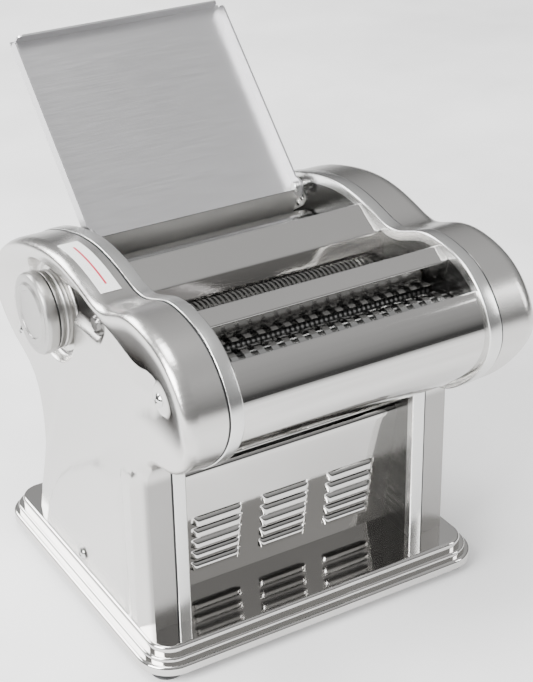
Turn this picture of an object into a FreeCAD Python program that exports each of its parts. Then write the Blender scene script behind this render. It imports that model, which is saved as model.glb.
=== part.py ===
import FreeCAD, Part
import math
import os
from FreeCAD import Vector

# Electric pasta roller machine, in millimetres.
# The model is drawn about the middle of the base tray's top (z = 0 there), X along the rollers,
# +Y to the rear, and moved once on export: the row's origin is on the counter, under the middle
# of the machine's whole depth.

# ---- overall sizes ----
inner_width = 150.0          # between the two side plates
body_height = 203.6          # tray top to the highest point of the side outline
base_depth = 196.6           # flat top of the tray, front to rear
base_overhang = 6.0          # flat top of the tray, beyond the side covers' faces
origin_forward = 7.5         # from the tray's middle to the machine's middle
tray_height = 14.5
foot_height = 6.0            # what shows under the tray

# ---- base ----
tray_corner = 14.0
tray_sheet = 1.2
tray_lip = 6.5               # how far the rolled edge stands out
tray_bead = 2.0
bottom_sheet = 1.0
foot_radius = 10.5
foot_inset = 9.0             # foot centre from the edge of the tray's flat top
foot_screw_radius = 2.0
foot_screw_head = 4.0
foot_screw_well = 0.4        # room round a foot screw's head
bottom_plate_rise = 2.0      # bottom plate's top above the tray's rim
bottom_vent_rows = 7
bottom_vent_pitch = 9.0
bottom_vent_half = 22.0

# ---- sides, from the side plate outwards ----
side_sheet = 2.5
band_width = 8.0
band_depth = 6.0             # how far the rim band reaches in from the outline
gasket_width = 1.0
gasket_inset = 0.9
cover_inset = 0.8
cover_wall = 1.5
cover_face = 22.5            # cover face from the side plate's outer face
cover_ridge = 30.5           # top of the raised ridge from the side plate's outer face
ridge_band = 19.0            # width of the ridge and its inner slope
leg_bulge = 4.5
screw_pad_radius = 8.0
screw_pad_height = 3.5
screw_radius = 2.0
screw_head_radius = 3.8
post_radius = 4.0
post_gap = 6.0               # a post stops this far inside the cover's face
boss_y = -25.0               # round boss on the right cover
boss_drop = 45.6
boss_radius = 31.0
boss_height = 9.0
boss_round = 4.0
tie_rod_radius = 4.0
rivet_radius = 1.5
rivet_head = 2.2

# ---- sheets between the sides ----
panel_sheet = 1.0
guard_sheet = 1.2
guard_inset = 3.0            # guards sit this far inside the outline
panel_foot_y = -52.0
panel_top_y = -64.0
panel_top_drop = 119.6       # all drops are measured down from body_height
panel_bend = 6.0
chute_end_y = 35.0
chute_end_drop = 79.6
rear_panel_y = 58.0
rear_panel_drop = 107.6
louvre_columns = 3
louvre_rows = 5
louvre_length = 32.0
louvre_spacing = 45.0
louvre_pitch = 8.5
louvre_depth = 3.0
louvre_slot = 1.6
louvre_first_z = 12.0
louvre_hood = 5.27           # height of a pressed hood
vent_rows = 4                # slots across the top of the rear panel
vent_first_z = 70.0
vent_pitch = 5.0
vent_slot = 2.0
vent_half = 30.0

# ---- rollers ----
sheet_roller_diameter = 40.0
sheet_nip_y = 9.25
sheet_gap = 0.5
gap_travel = 2.6
sheet_axis_drop = 47.6
cutter_diameter = 22.0
cutter_overlap = 1.0
cutter_axis_drop = 35.6
narrow_nip_y = -75.0
wide_nip_y = -120.0
narrow_pitch = 3.0
wide_pitch = 8.0
disc_side_clearance = 0.12
groove_depth = 2.6
roller_end_gap = 1.0
scraper_sheet = 0.8
shaft_radius = 6.0
cutter_shaft_radius = 4.5
running_clearance = 0.05
bush_wall = 2.0
bush_flange = 1.5

# ---- gears, in three planes outside the right side plate ----
plane_width = (6.5, 4.5, 4.5)
plane_gap = 1.0
sheet_teeth = 16
main_idler_drop = 1.0        # least distance of the idler off the line between its neighbours
pinion_teeth = 14
transfer_teeth = 20
transfer_idler_drop = 12.0
cutter_teeth = 12
tooth_thinning = 0.32
fewest_idler_teeth = 12
stud_radius = 5.0
stud_shoulder = 1.0          # collar's and washer's reach beyond the stud
stud_washer = 1.0
stud_end_play = 0.5

# ---- gear motor ----
motor_radius = 25.0
motor_length = 78.0
gearbox_half = 26.0
gearbox_length = 30.0
motor_y = 5.0
motor_end_round = 4.0
motor_groove_pitch = 7.0
gearbox_round = 5.0
motor_drop = 86.0            # gear motor's shaft below the sheet rollers' axes
bracket_sheet = 2.0

# ---- thickness adjuster ----
scroll_turn = 240.0          # degrees from the thinnest to the widest setting
scroll_radius = 21.0
scroll_start = 13.0
scroll_width = 3.5
scroll_pin_radius = 2.5
block_height = 24.0
block_reach = 27.0
block_width = 5.5            # outside the side plate
adjuster_shaft_radius = 5.0
adjuster_flat = 1.5          # depth of the flat on the knob's shaft
carriage_rod_radius = 3.0
block_slide_gap = 0.1        # bearing block to its slot in the side plate
knob_radius = 24.0
knob_body_radius = 22.6
knob_length = 18.5
knob_stroke = 4.0
knob_pocket_radius = 30.0
knob_pocket_depth = 6.0
knob_seat_gap = 0.6

# ---- feed tray, which folds down as the lid ----
lid_half_width = 70.0
lid_length = 130.0
lid_sheet = 1.2
lid_flange = 7.0
lid_lean = 45.4              # degrees above the horizontal when open
lid_pivot_y = 37.0
lid_pivot_drop = 13.3
lid_pivot_lift = 4.0         # pivot above the lid's sheet
lid_ear = 6.0
lid_pin_radius = 2.0
lid_notch = 3.0

# ---- controls on the rear ----
switch_x = -38.0
inlet_x = 38.0
control_z = 48.0
switch_width = 21.0
switch_tall = 15.0
rocker_gap = 0.4
rocker_pin_radius = 1.2
bezel_rim = 2.0
controls_wall = 1.5
inlet_ear = 4.0
inlet_width = 30.0
inlet_tall = 24.0

# ---- worked out from the values above ----
beyond = inner_width + 50.0  # a cutting tool that starts inside ends past everything here
side_in = inner_width / 2
plate_out = side_in + side_sheet
band_out = side_in + band_width
gasket_out = band_out + gasket_width
face_out = plate_out + cover_face
ridge_out = plate_out + cover_ridge
tray_half_x = face_out + base_overhang
tray_half_y = base_depth / 2
sheet_r = sheet_roller_diameter / 2
sheet_z = body_height - sheet_axis_drop
front_y = sheet_nip_y - sheet_gap / 2 - sheet_r
rear_y = sheet_nip_y + sheet_gap / 2 + sheet_r
cutter_r = cutter_diameter / 2
cutter_z = body_height - cutter_axis_drop
cutter_step = cutter_diameter - cutter_overlap
motor_z = sheet_z - motor_drop
plane_1 = plate_out + bush_flange + plane_gap / 2
plane_2 = plane_1 + plane_width[0] + plane_gap
plane_3 = plane_2 + plane_width[1] + plane_gap
gears_out = plane_3 + plane_width[2]

parts = {}


# ---- drawing helpers; pairs are (y, z) unless a name says otherwise ----
def box(x0, x1, y0, y1, z0, z1):
    return Part.makeBox(x1 - x0, y1 - y0, z1 - z0, Vector(x0, y0, z0))


def rod_x(x0, x1, centre, radius):
    low, high = min(x0, x1), max(x0, x1)
    return Part.makeCylinder(radius, high - low, Vector(low, centre[0], centre[1]), Vector(1, 0, 0))


def tube_x(x0, x1, centre, radius, bore):
    return rod_x(x0, x1, centre, radius).cut(rod_x(x0 - 1, x1 + 1, centre, bore))


def fuse(shapes):
    whole = shapes[0]
    if len(shapes) > 1:
        whole = whole.multiFuse(shapes[1:])
    return whole.removeSplitter()


def mirrored(shape):
    return shape.mirror(Vector(0, 0, 0), Vector(1, 0, 0))


def in_yz(pair):
    return Vector(0, pair[0], pair[1])


def in_xy(pair):
    return Vector(pair[0], pair[1], 0)


def rounded_face(pairs, radii, place=in_yz):
    """A closed polygon whose corner k is an arc of radii[k], as a face."""
    count = len(pairs)
    starts, ends, arcs = [], [], []
    for k in range(count):
        here, before, after = (place(pairs[i % count]) for i in (k, k - 1, k + 1))
        to_before = (before - here).normalize()
        to_after = (after - here).normalize()
        half = to_before.getAngle(to_after) / 2
        if radii[k] <= 0:
            starts.append(here)
            ends.append(here)
            arcs.append(None)
            continue
        back = radii[k] / math.tan(half)
        middle = (to_before + to_after).normalize()
        centre = here + middle * (radii[k] / math.sin(half))
        starts.append(here + to_before * back)
        ends.append(here + to_after * back)
        arcs.append(centre - middle * radii[k])
    edges = []
    for k in range(count):
        if arcs[k] is not None:
            edges.append(Part.Arc(starts[k], arcs[k], ends[k]).toShape())
        nxt = (k + 1) % count
        if ends[k].distanceToPoint(starts[nxt]) > 1e-6:
            edges.append(Part.LineSegment(ends[k], starts[nxt]).toShape())
    return Part.Face(Part.Wire(edges))


def prism_x(pairs, x0, x1, radii=None):
    face = rounded_face(pairs, radii or [0] * len(pairs))
    face.translate(Vector(x0, 0, 0))
    return face.extrude(Vector(x1 - x0, 0, 0))


def rounded_block(half_x, half_y, corner, z0, z1):
    corners = [(-half_x, -half_y), (half_x, -half_y), (half_x, half_y), (-half_x, half_y)]
    face = rounded_face(corners, [corner] * 4, in_xy)
    face.translate(Vector(0, 0, z0))
    return face.extrude(Vector(0, 0, z1 - z0))


def bent_sheet(path, thickness, bends, x0, x1):
    """A folded sheet: path is one face of it, the metal lies to the left of the path."""
    normals = []
    for (y0, z0), (y1, z1) in zip(path, path[1:]):
        length = math.hypot(y1 - y0, z1 - z0)
        normals.append((-(z1 - z0) / length, (y1 - y0) / length))
    other, near_radii, far_radii = [], [], []
    for k, (y, z) in enumerate(path):
        before = normals[max(k - 1, 0)]
        after = normals[min(k, len(normals) - 1)]
        spread = 1 + before[0] * after[0] + before[1] * after[1]
        other.append((y + thickness * (before[0] + after[0]) / spread,
                      z + thickness * (before[1] + after[1]) / spread))
        turn = before[0] * after[1] - before[1] * after[0]
        inner, outer = bends[k], bends[k] + thickness if bends[k] else 0
        near_radii.append(outer if turn > 0 else inner)
        far_radii.append(inner if turn > 0 else outer)
    return prism_x(path + other[::-1], x0, x1, near_radii + far_radii[::-1])


# ---- the side outline ----
leg_front_y = -80.4
leg_top_z = body_height - 103.6


def outline_points():
    """(y, z) along the outline, from the top of the front leg over the lobes to the rear foot."""
    upper = [(-80.4, 103.6), (-82.0, 97.6), (-88, 92.4), (-104, 88.6), (-124, 77.1), (-139.5, 61.1),
             (-147, 38.6), (-141, 22.6), (-126, 8.1), (-104, 0.6), (-79, 1.2), (-54, 8.8), (-32, 4.6),
             (0, 0), (33, 4.3), (64.2, 14.7), (90, 32.6), (103.5, 61.6), (94, 91.1), (72, 109.6)]
    lower = [(64.5, 0.354), (67, 0.196), (78.4, 0)]
    return ([(y, body_height - drop) for y, drop in upper]
            + [(y, share * body_height) for y, share in lower])


def spline_through(pairs):
    curve = Part.BSplineCurve()
    curve.interpolate(Points=[in_yz(p) for p in pairs])
    return curve


outline_curve = spline_through(outline_points())


def outline_wire(inset, x=0.0):
    """The outline moved inwards, flat on the tray, as a closed wire at x."""
    moved = []
    for y, z in outline_points():
        along = outline_curve.tangent(outline_curve.parameter(in_yz((y, z))))[0]
        inward = Vector(0, along.z, -along.y)
        moved.append((y + inset * inward.y, z + inset * inward.z))
    moved[0] = (leg_front_y + inset, leg_top_z)
    moved[-1] = (moved[-1][0], 0.0)
    curve = spline_through(moved)
    foot_front = in_yz((leg_front_y + inset, 0))
    leg_top = in_yz(moved[0])
    foot_rear = in_yz(moved[-1])
    wire = Part.Wire([Part.LineSegment(foot_front, leg_top).toShape(), curve.toShape(),
                      Part.LineSegment(foot_rear, foot_front).toShape()])
    wire.translate(Vector(x, 0, 0))
    return wire


def outline_slab(inset, x0, x1):
    return Part.Face(outline_wire(inset, x0)).extrude(Vector(x1 - x0, 0, 0))


def outline_ring(inset, depth, x0, x1):
    return outline_slab(inset, x0, x1).cut(outline_slab(inset + depth, x0 - 1, x1 + 1))


# ---- roller and gear positions ----
front_axis = (front_y, sheet_z)
rear_axis = (rear_y, sheet_z)
cutter_axes = {
    "narrow_cutter_rear": (narrow_nip_y + cutter_step / 2, cutter_z),
    "narrow_cutter_front": (narrow_nip_y - cutter_step / 2, cutter_z),
    "wide_cutter_rear": (wide_nip_y + cutter_step / 2, cutter_z),
    "wide_cutter_front": (wide_nip_y - cutter_step / 2, cutter_z),
}
sheet_module = sheet_roller_diameter / sheet_teeth
cutter_module = cutter_step / cutter_teeth
middle_step = cutter_axes["narrow_cutter_front"][0] - cutter_axes["wide_cutter_rear"][0]
middle_module = middle_step / cutter_teeth
pinion_r = pinion_teeth * sheet_module / 2
transfer_r = transfer_teeth * middle_module / 2


def triangle(a, b, from_a, from_b):
    """Where the third corner lies: along the line from a to b, and its square distance off it."""
    apart = math.hypot(b[0] - a[0], b[1] - a[1])
    along = (from_a ** 2 - from_b ** 2 + apart ** 2) / (2 * apart)
    return apart, along, from_a ** 2 - along ** 2


def idler_teeth(a, b, radius_a, radius_b, module, drop):
    """Fewest teeth that reach both neighbours with the idler at least drop off their line."""
    teeth = fewest_idler_teeth
    while True:
        radius = teeth * module / 2
        apart, along, across_squared = triangle(a, b, radius_a + radius, radius + radius_b)
        if across_squared >= drop ** 2:
            return teeth
        teeth += 1


def third_corner(a, b, from_a, from_b):
    """The point at the given distances from a and b, on the side that is lower."""
    apart, along, across_squared = triangle(a, b, from_a, from_b)
    across = math.sqrt(across_squared)
    ey, ez = (b[0] - a[0]) / apart, (b[1] - a[1]) / apart
    options = [(a[0] + along * ey - s * across * ez, a[1] + along * ez + s * across * ey)
               for s in (-1, 1)]
    return min(options, key=lambda p: p[1])


motor_axis = (motor_y, motor_z)
main_idler_teeth = idler_teeth(front_axis, motor_axis, sheet_r, pinion_r, sheet_module,
                               main_idler_drop)
main_idler_r = main_idler_teeth * sheet_module / 2
main_idler_axis = third_corner(front_axis, motor_axis, sheet_r + main_idler_r,
                               main_idler_r + pinion_r)
narrow_front_axis = cutter_axes["narrow_cutter_front"]
transfer_idler_teeth = idler_teeth(front_axis, narrow_front_axis, transfer_r, middle_step / 2,
                                   middle_module, transfer_idler_drop)
transfer_idler_r = transfer_idler_teeth * middle_module / 2
transfer_idler_axis = third_corner(front_axis, narrow_front_axis, transfer_r + transfer_idler_r,
                                   transfer_idler_r + middle_step / 2)


# ---- gears ----
def involute(angle):
    return math.tan(angle) - angle


def gear(module, teeth, centre, phase, x0, x1, addendum=1.0, dedendum=1.25):
    """A spur gear about X; phase is the angle of one tooth's middle, from +Y towards +Z."""
    pitch_r = module * teeth / 2
    base_r = pitch_r * math.cos(math.radians(20))
    tip_r = pitch_r + addendum * module
    root_r = pitch_r - dedendum * module
    at_pitch = math.pi / (2 * teeth) - tooth_thinning / pitch_r / 2

    def half_tooth(radius):
        if radius <= base_r:
            return at_pitch + involute(math.radians(20))
        return at_pitch + involute(math.radians(20)) - involute(math.acos(base_r / radius))

    steps = [root_r, max(base_r, root_r + 0.1), pitch_r, (pitch_r + tip_r) / 2, tip_r]
    pairs = []
    for k in range(teeth):
        middle = phase + 2 * math.pi * k / teeth
        for side, radii in ((-1, steps), (1, steps[::-1])):
            for radius in radii:
                angle = middle + side * half_tooth(radius)
                pairs.append((centre[0] + radius * math.cos(angle),
                              centre[1] + radius * math.sin(angle)))
    return prism_x(pairs, x0, x1)


def meshed_phase(a, radius_a, phase_a, b, radius_b, teeth_b):
    """Phase of gear b that puts its gaps on gear a's teeth."""
    line = math.atan2(b[1] - a[1], b[0] - a[0])
    pitch = 2 * math.pi * radius_b / teeth_b
    return line + math.pi - ((phase_a - line) * radius_a + pitch / 2) / radius_b


def in_plane(number):
    start = (plane_1, plane_2, plane_3)[number - 1]
    return start, start + plane_width[number - 1]


# ---- base ----
def base_tray():
    top = rounded_block(tray_half_x, tray_half_y, tray_corner, -tray_height * 0.45, 0)
    top = top.makeFillet(tray_bead, top.Faces[-1].Edges)
    spread = tray_lip / 2
    step = rounded_block(tray_half_x + spread, tray_half_y + spread, tray_corner + spread,
                         -tray_height * 0.72, -tray_height * 0.36)
    step = step.makeFillet(tray_bead * 0.7, step.Faces[-1].Edges)
    roll = rounded_block(tray_half_x + tray_lip, tray_half_y + tray_lip, tray_corner + tray_lip,
                         -tray_height, -tray_height * 0.62)
    roll = roll.makeFillet(tray_bead, roll.Faces[-1].Edges)
    return fuse([top, step, roll]).cut(fuse([
        tray_hollow(-tray_bead, -tray_height - 1, -tray_sheet),
        tray_hollow(spread - tray_bead, -tray_height - 1, -tray_height * 0.36 - tray_sheet),
        tray_hollow(tray_lip - tray_bead, -tray_height - 1, -tray_height * 0.62 - tray_sheet)]))


def tray_hollow(beyond, z0, z1):
    """Block whose sides are beyond the tray's flat top by the given amount, less the sheet."""
    grow = beyond - tray_sheet / 2
    return rounded_block(tray_half_x + grow, tray_half_y + grow, tray_corner + grow, z0, z1)


def foot_places():
    x, y = tray_half_x - foot_inset, tray_half_y - foot_inset
    return {"foot_front_left": (-x, -y), "foot_front_right": (x, -y),
            "foot_rear_left": (-x, y), "foot_rear_right": (x, y)}


def add_base():
    parts["base_tray"] = base_tray()
    plate_top = -tray_height + bottom_plate_rise
    plate = tray_hollow(tray_lip - tray_bead, plate_top - bottom_sheet, plate_top)
    for row in range(bottom_vent_rows):
        y = (row - (bottom_vent_rows - 1) / 2) * bottom_vent_pitch
        plate = plate.cut(box(-bottom_vent_half, bottom_vent_half, y - 1.5, y + 1.5,
                              plate_top - 5, plate_top + 5))
    screws = []
    seat = plate_top - bottom_sheet
    for name, (x, y) in foot_places().items():
        at = Vector(x, y, -tray_height - foot_height)
        foot = Part.makeCone(foot_radius - 1.2, foot_radius, 2.0, at)
        foot = foot.fuse(Part.makeCylinder(foot_radius, seat - at.z - 2.0, at + Vector(0, 0, 2.0)))
        well = Part.makeCylinder(foot_screw_head + foot_screw_well, 3.0, at)
        bore = Part.makeCylinder(foot_screw_radius, 30, at)
        parts[name] = foot.removeSplitter().cut(well.fuse(bore))
        head = Part.makeCylinder(foot_screw_head, 2.0, at + Vector(0, 0, 1.0))
        shank = Part.makeCylinder(foot_screw_radius, plate_top - at.z - 0.5, at + Vector(0, 0, 2.5))
        screws.append(head.fuse(shank).removeSplitter())
        plate = plate.cut(Part.makeCylinder(foot_screw_radius, 10, Vector(x, y, seat - 5)))
    parts["bottom_plate"] = plate
    parts["foot_screws"] = Part.makeCompound(screws)


# ---- sides ----
block_front = rear_y - 13.0
block_slot_y = (block_front, rear_y + block_reach + gap_travel)
tie_places = [(-40, 76), (-34, 20), (48, body_height - 96), (80, body_height - 58)]
left_posts = [(-110, body_height - 39.1), (66, body_height - 76), (0, 8.0)]
right_posts = [(-112, body_height - 63), (66, body_height - 76), (0, 8.0)]
offset_post = (-110, body_height - 56)     # carries the left lobe's screw past a roller's end
lid_pivot = (lid_pivot_y, body_height - lid_pivot_drop)
rivet_places = [(43.2, body_height - 26.4), (38.8, body_height - 21.6)]
bush_r = shaft_radius + running_clearance + bush_wall
cutter_bush_r = cutter_shaft_radius + running_clearance + bush_wall


def side_plate(right):
    plate = outline_slab(band_depth, side_in, plate_out)
    cuts = [rod_x(0, beyond, front_axis, bush_r)]
    cuts += [rod_x(0, beyond, axis, cutter_bush_r) for axis in cutter_axes.values()]
    cuts.append(box(0, beyond, block_slot_y[0], block_slot_y[1],
                    sheet_z - block_height / 2 - block_slide_gap,
                    sheet_z + block_height / 2 + block_slide_gap))
    cuts.append(rod_x(0, beyond, lid_pivot, lid_pin_radius))
    cuts += [rod_x(0, beyond, p, rivet_radius) for p in rivet_places]
    if right:
        cuts.append(rod_x(0, beyond, motor_axis, shaft_radius + 1))
        cuts += [rod_x(0, beyond, p, stud_radius - 2) for p in (main_idler_axis, transfer_idler_axis)]
    return plate.cut(cuts[0].multiFuse(cuts[1:]))


def outline_frustum(inset_0, x0, inset_1, x1):
    return Part.makeLoft([outline_wire(inset_0, x0), outline_wire(inset_1, x1)], True, True)


def outline_stack(steps):
    """Solid through (inset, x) steps, one tapered slab per pair of steps."""
    slabs = [outline_frustum(*low, *high) for low, high in zip(steps, steps[1:])]
    return slabs[0].multiFuse(slabs[1:])


def cover_outside():
    """Straight skirt, rounded ridge round the edge, slope down to the sunken side face."""
    rise = cover_ridge - cover_face
    skirt = [(cover_inset, gasket_out), (cover_inset, face_out - 1.0)]
    crest = [(cover_inset + 0.9, face_out + 0.68 * rise), (cover_inset + 3.0, face_out + 0.94 * rise),
             (cover_inset + 5.7, ridge_out)]
    block = outline_stack(skirt + crest)
    sunken = outline_stack([(cover_inset + ridge_band, face_out),
                            (cover_inset + 0.82 * ridge_band, face_out + 0.07 * rise),
                            (cover_inset + 0.6 * ridge_band, face_out + 0.5 * rise),
                            (cover_inset + 0.44 * ridge_band, face_out + 0.88 * rise),
                            (cover_inset + 0.3 * ridge_band, ridge_out + 0.5)])
    return block.cut(sunken)


def cover_inside():
    wall = cover_inset + cover_wall
    cavity = outline_slab(wall, gasket_out - 5, face_out - cover_wall)
    under_ridge = outline_ring(wall + 0.9, ridge_band * 0.4, face_out - cover_wall - 0.5,
                               face_out + (cover_ridge - cover_face) * 0.5)
    return cavity.fuse(under_ridge)


def leg_bulge_block(shrink):
    top = leg_top_z - 2 - shrink
    front, rear = leg_front_y + 12 + shrink, 66 - shrink
    arch = [(front, -5), (front, top), (-40, top - 2), (22, top * 0.5), (rear, -5)]
    block = prism_x(arch, face_out - 6, face_out + leg_bulge - shrink, [0, 9, 24, 40, 0])
    return block.common(box(-500, 500, -500, 500, 0, 500))


def cover(right):
    outer = cover_outside()
    hollow = cover_inside()
    outer = outer.fuse(leg_bulge_block(0))
    hollow = hollow.fuse(leg_bulge_block(cover_wall))
    if right:
        boss_axis = (boss_y, body_height - boss_drop)
        boss_out = face_out + boss_height
        boss = rod_x(face_out - 5, boss_out, boss_axis, boss_radius)
        boss = boss.makeFillet(boss_round, [e for e in boss.Edges if e.BoundBox.XMin > boss_out - 1])
        outer = outer.fuse(boss)
        hollow = hollow.fuse(rod_x(face_out - 5, boss_out - cover_wall, boss_axis,
                                   boss_radius - cover_wall))
    else:
        floor = face_out - knob_pocket_depth
        outer = outer.cut(rod_x(floor, ridge_out + 5, rear_axis, knob_pocket_radius))
        hollow = hollow.cut(rod_x(floor - cover_wall, ridge_out + 5, rear_axis,
                                  knob_pocket_radius + cover_wall))
    places = right_posts if right else left_posts
    for place in places:
        outer = outer.fuse(rod_x(face_out - 3, pad_top(place), place, screw_pad_radius))
    shell = outer.cut(hollow)
    for place in places:
        shell = shell.fuse(rod_x(post_end(), pad_top(place), place, screw_pad_radius))
        shell = shell.cut(rod_x(post_end() - 1, ridge_out + 5, place, screw_radius))
    if not right:
        shell = shell.cut(rod_x(60, beyond, rear_axis, adjuster_shaft_radius + bush_wall))
    return shell.removeSplitter()


def post_end():
    return face_out - post_gap


def pad_top(place):
    low = place[1] < leg_top_z - 40
    return face_out + (leg_bulge + 0.4 if low else screw_pad_height)


def add_sides():
    for side, right in (("left", False), ("right", True)):
        turn = (lambda s: s) if right else mirrored
        parts[side + "_side_plate"] = turn(side_plate(right))
        band = outline_ring(0, band_depth, side_in, band_out)
        parts[side + "_rim_band"] = turn(band.cut(rod_x(0, beyond, lid_pivot, lid_pin_radius)))
        gasket = outline_ring(gasket_inset, band_depth - gasket_inset, band_out, gasket_out)
        parts[side + "_gasket"] = turn(gasket)
        parts[side + "_cover"] = turn(cover(right))
    screws, posts = [], []
    for turn, places in ((lambda s: s, right_posts), (mirrored, left_posts)):
        for place in places:
            if places is left_posts and place is left_posts[0]:
                arm = box(plate_out + 5, post_end(), place[0] - post_radius, place[0] + post_radius,
                          offset_post[1], place[1] + post_radius)
                post = rod_x(plate_out, post_end(), offset_post, post_radius).fuse(arm)
                post = post.removeSplitter()
            else:
                post = rod_x(plate_out, post_end(), place, post_radius)
            post = post.cut(rod_x(post_end() - 6, beyond, place, screw_radius))
            posts.append(turn(post))
            top = pad_top(place)
            dome = Part.makeSphere(screw_head_radius * 1.25, Vector(top - 2.8, place[0], place[1]))
            dome = dome.common(rod_x(top, top + 3, place, screw_head_radius))
            recess = box(top + 0.9, top + 3, place[0] - 1.8, place[0] + 1.8,
                         place[1] - 0.35, place[1] + 0.35)
            cross = box(top + 0.9, top + 3, place[0] - 0.35, place[0] + 0.35,
                        place[1] - 1.8, place[1] + 1.8)
            shank = rod_x(post_end() - 6, top + 0.1, place, screw_radius)
            screws.append(turn(dome.fuse(shank).removeSplitter().cut(recess.fuse(cross))))
    parts["cover_posts"] = Part.makeCompound(posts)
    parts["cover_screws"] = Part.makeCompound(screws)
    label = outline_ring(cover_inset - 0.3, 0.3, gasket_out + 4.5, face_out + 0.5)
    parts["label_plate"] = mirrored(label.common(box(0, beyond, -44.5, 11.5, 150, body_height + 5)))


# ---- sheets between the side plates ----
def add_sheets():
    foot = (panel_foot_y, 0)
    top = (panel_top_y, body_height - panel_top_drop)
    end = (chute_end_y, body_height - chute_end_drop)
    panel = bent_sheet([end, top, foot], panel_sheet, [0, panel_bend, 0], -side_in, side_in)
    lean = math.atan2(foot[0] - top[0], top[1] - foot[1])
    slots, hoods = [], []
    for column in range(louvre_columns):
        x = (column - (louvre_columns - 1) / 2) * louvre_spacing
        for row in range(louvre_rows):
            z = louvre_first_z + row * louvre_pitch
            hood = rounded_hood(x, z, louvre_hood)
            slot = box(x - louvre_length / 2 + 1.5, x + louvre_length / 2 - 1.5,
                       -4, 4, z + 0.6, z + 0.6 + louvre_slot)
            for shape, group in ((hood, hoods), (slot, slots)):
                shape.rotate(Vector(0, 0, 0), Vector(1, 0, 0), math.degrees(lean))
                shape.translate(Vector(0, panel_foot_y, 0))
                group.append(shape)
    panel = panel.cut(slots[0].multiFuse(slots[1:])).multiFuse(hoods)
    parts["front_panel"] = panel.removeSplitter()

    rear = box(-side_in, side_in, rear_panel_y, rear_panel_y + panel_sheet, 0,
               body_height - rear_panel_drop)
    for row in range(vent_rows):
        z = vent_first_z + row * vent_pitch
        rear = rear.cut(box(-vent_half, vent_half, 0, 100, z, z + vent_slot))
    rear = rear.cut(box(switch_x - switch_width / 2, switch_x + switch_width / 2, 0, 100,
                        control_z - switch_tall / 2, control_z + switch_tall / 2))
    hole_x, hole_z = inlet_width / 2 - controls_wall, inlet_tall / 2 - controls_wall
    rear = rear.cut(box(inlet_x - hole_x, inlet_x + hole_x, 0, 100,
                        control_z - hole_z, control_z + hole_z))
    parts["rear_panel"] = rear

    hood_ring = outline_ring(guard_inset, guard_sheet, -side_in, side_in)
    hood_span = prism_x([(52, body_height + 10), (52, body_height - 40), (60, body_height - 111),
                         (140, body_height - 111), (140, body_height + 10)], -side_in, side_in)
    parts["rear_hood"] = hood_ring.common(hood_span)
    top = body_height
    parts["roller_cover_rear"] = bent_sheet(
        [(-48, top - 32), (-43.2, top - 13.9), (-22, top - 4.3), (-19.5, top - 9.5)],
        -panel_sheet, [0, 2.5, 1.5, 0], -side_in, side_in)
    parts["roller_cover_middle"] = bent_sheet(
        [(-105.5, top - 21), (-107.5, top - 7.7), (-95.6, top - 2.7), (-94, top - 21)],
        -panel_sheet, [0, 1.5, 1.5, 0], -side_in, side_in)
    guard_span = box(-side_in, side_in, -170, -98.4, 50, top - 16.2)
    parts["roller_cover_front"] = hood_ring.common(guard_span)


def rounded_hood(x, z, drop):
    """A pressed louvre: flush at its top, standing out and open at its lower edge."""
    half = louvre_length / 2
    section = [(0, z + drop), (-louvre_depth, z + 0.4), (-louvre_depth, z), (0, z)]
    outer = prism_x(section, x - half, x + half, [0, 1.0, 0, 0])
    ends = [e for e in outer.Edges if abs(e.BoundBox.XLength) < 1e-6
            and e.BoundBox.YLength > louvre_depth - 1.5 and e.BoundBox.ZLength > 1]
    outer = outer.makeFillet(0.8, ends) if ends else outer
    inner = prism_x([(0.2, z + drop - 1.4), (-louvre_depth + 0.9, z + 0.3), (-louvre_depth + 0.9, z - 1),
                     (0.2, z - 1)], x - half + 0.9, x + half - 0.9)
    return outer.cut(inner)


def add_hopper():
    top = (43.0, body_height - 16.8)
    low = (52.0, body_height - 38.6)
    ear_in = side_in - panel_sheet
    ear_low = (50.5, body_height - 34.8)
    plate = bent_sheet([low, top], panel_sheet, [0, 0], -ear_in, ear_in)
    ear = prism_x([top, ear_low, (38.5, body_height - 27.1), (34.5, body_height - 20)],
                  ear_in, side_in, [0, 0, 4, 4])
    for place in rivet_places:
        ear = ear.cut(rod_x(0, beyond, place, rivet_radius))
    parts["hopper_plate"] = fuse([plate, ear, mirrored(ear)])
    rivets = []
    for place in rivet_places:
        head = Part.makeSphere(3.2, Vector(ear_in + 1.4, place[0], place[1]))
        head = head.common(rod_x(ear_in - 1.8, ear_in, place, rivet_head))
        rivet = head.fuse(rod_x(ear_in, plate_out, place, rivet_radius)).removeSplitter()
        rivets += [rivet, mirrored(rivet)]
    parts["hopper_rivets"] = Part.makeCompound(rivets)


def add_rods():
    rods = [rod_x(-side_in, side_in, p, tie_rod_radius) for p in tie_places]
    parts["tie_rods"] = Part.makeCompound(rods)
    bushes = []
    sizes = [(front_axis, shaft_radius)] + [(a, cutter_shaft_radius) for a in cutter_axes.values()]
    for axis, radius in sizes:
        bore = radius + running_clearance
        bush = rod_x(side_in, plate_out, axis, bore + bush_wall)
        bush = bush.fuse(rod_x(plate_out, plate_out + bush_flange, axis, bore + bush_wall + 1.5))
        bush = bush.removeSplitter().cut(rod_x(0, beyond, axis, bore))
        bushes += [bush, mirrored(bush)]
    floor = face_out - knob_pocket_depth
    bore = adjuster_shaft_radius + running_clearance
    bush = rod_x(-floor + cover_wall + 4, -floor, rear_axis, adjuster_shaft_radius + bush_wall)
    flange = rod_x(-floor + cover_wall + 2, -floor + cover_wall, rear_axis,
                   adjuster_shaft_radius + bush_wall + 2)
    bushes.append(bush.fuse(flange).removeSplitter().cut(rod_x(-beyond, 0, rear_axis, bore)))
    parts["roller_bushes"] = Part.makeCompound(bushes)


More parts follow.
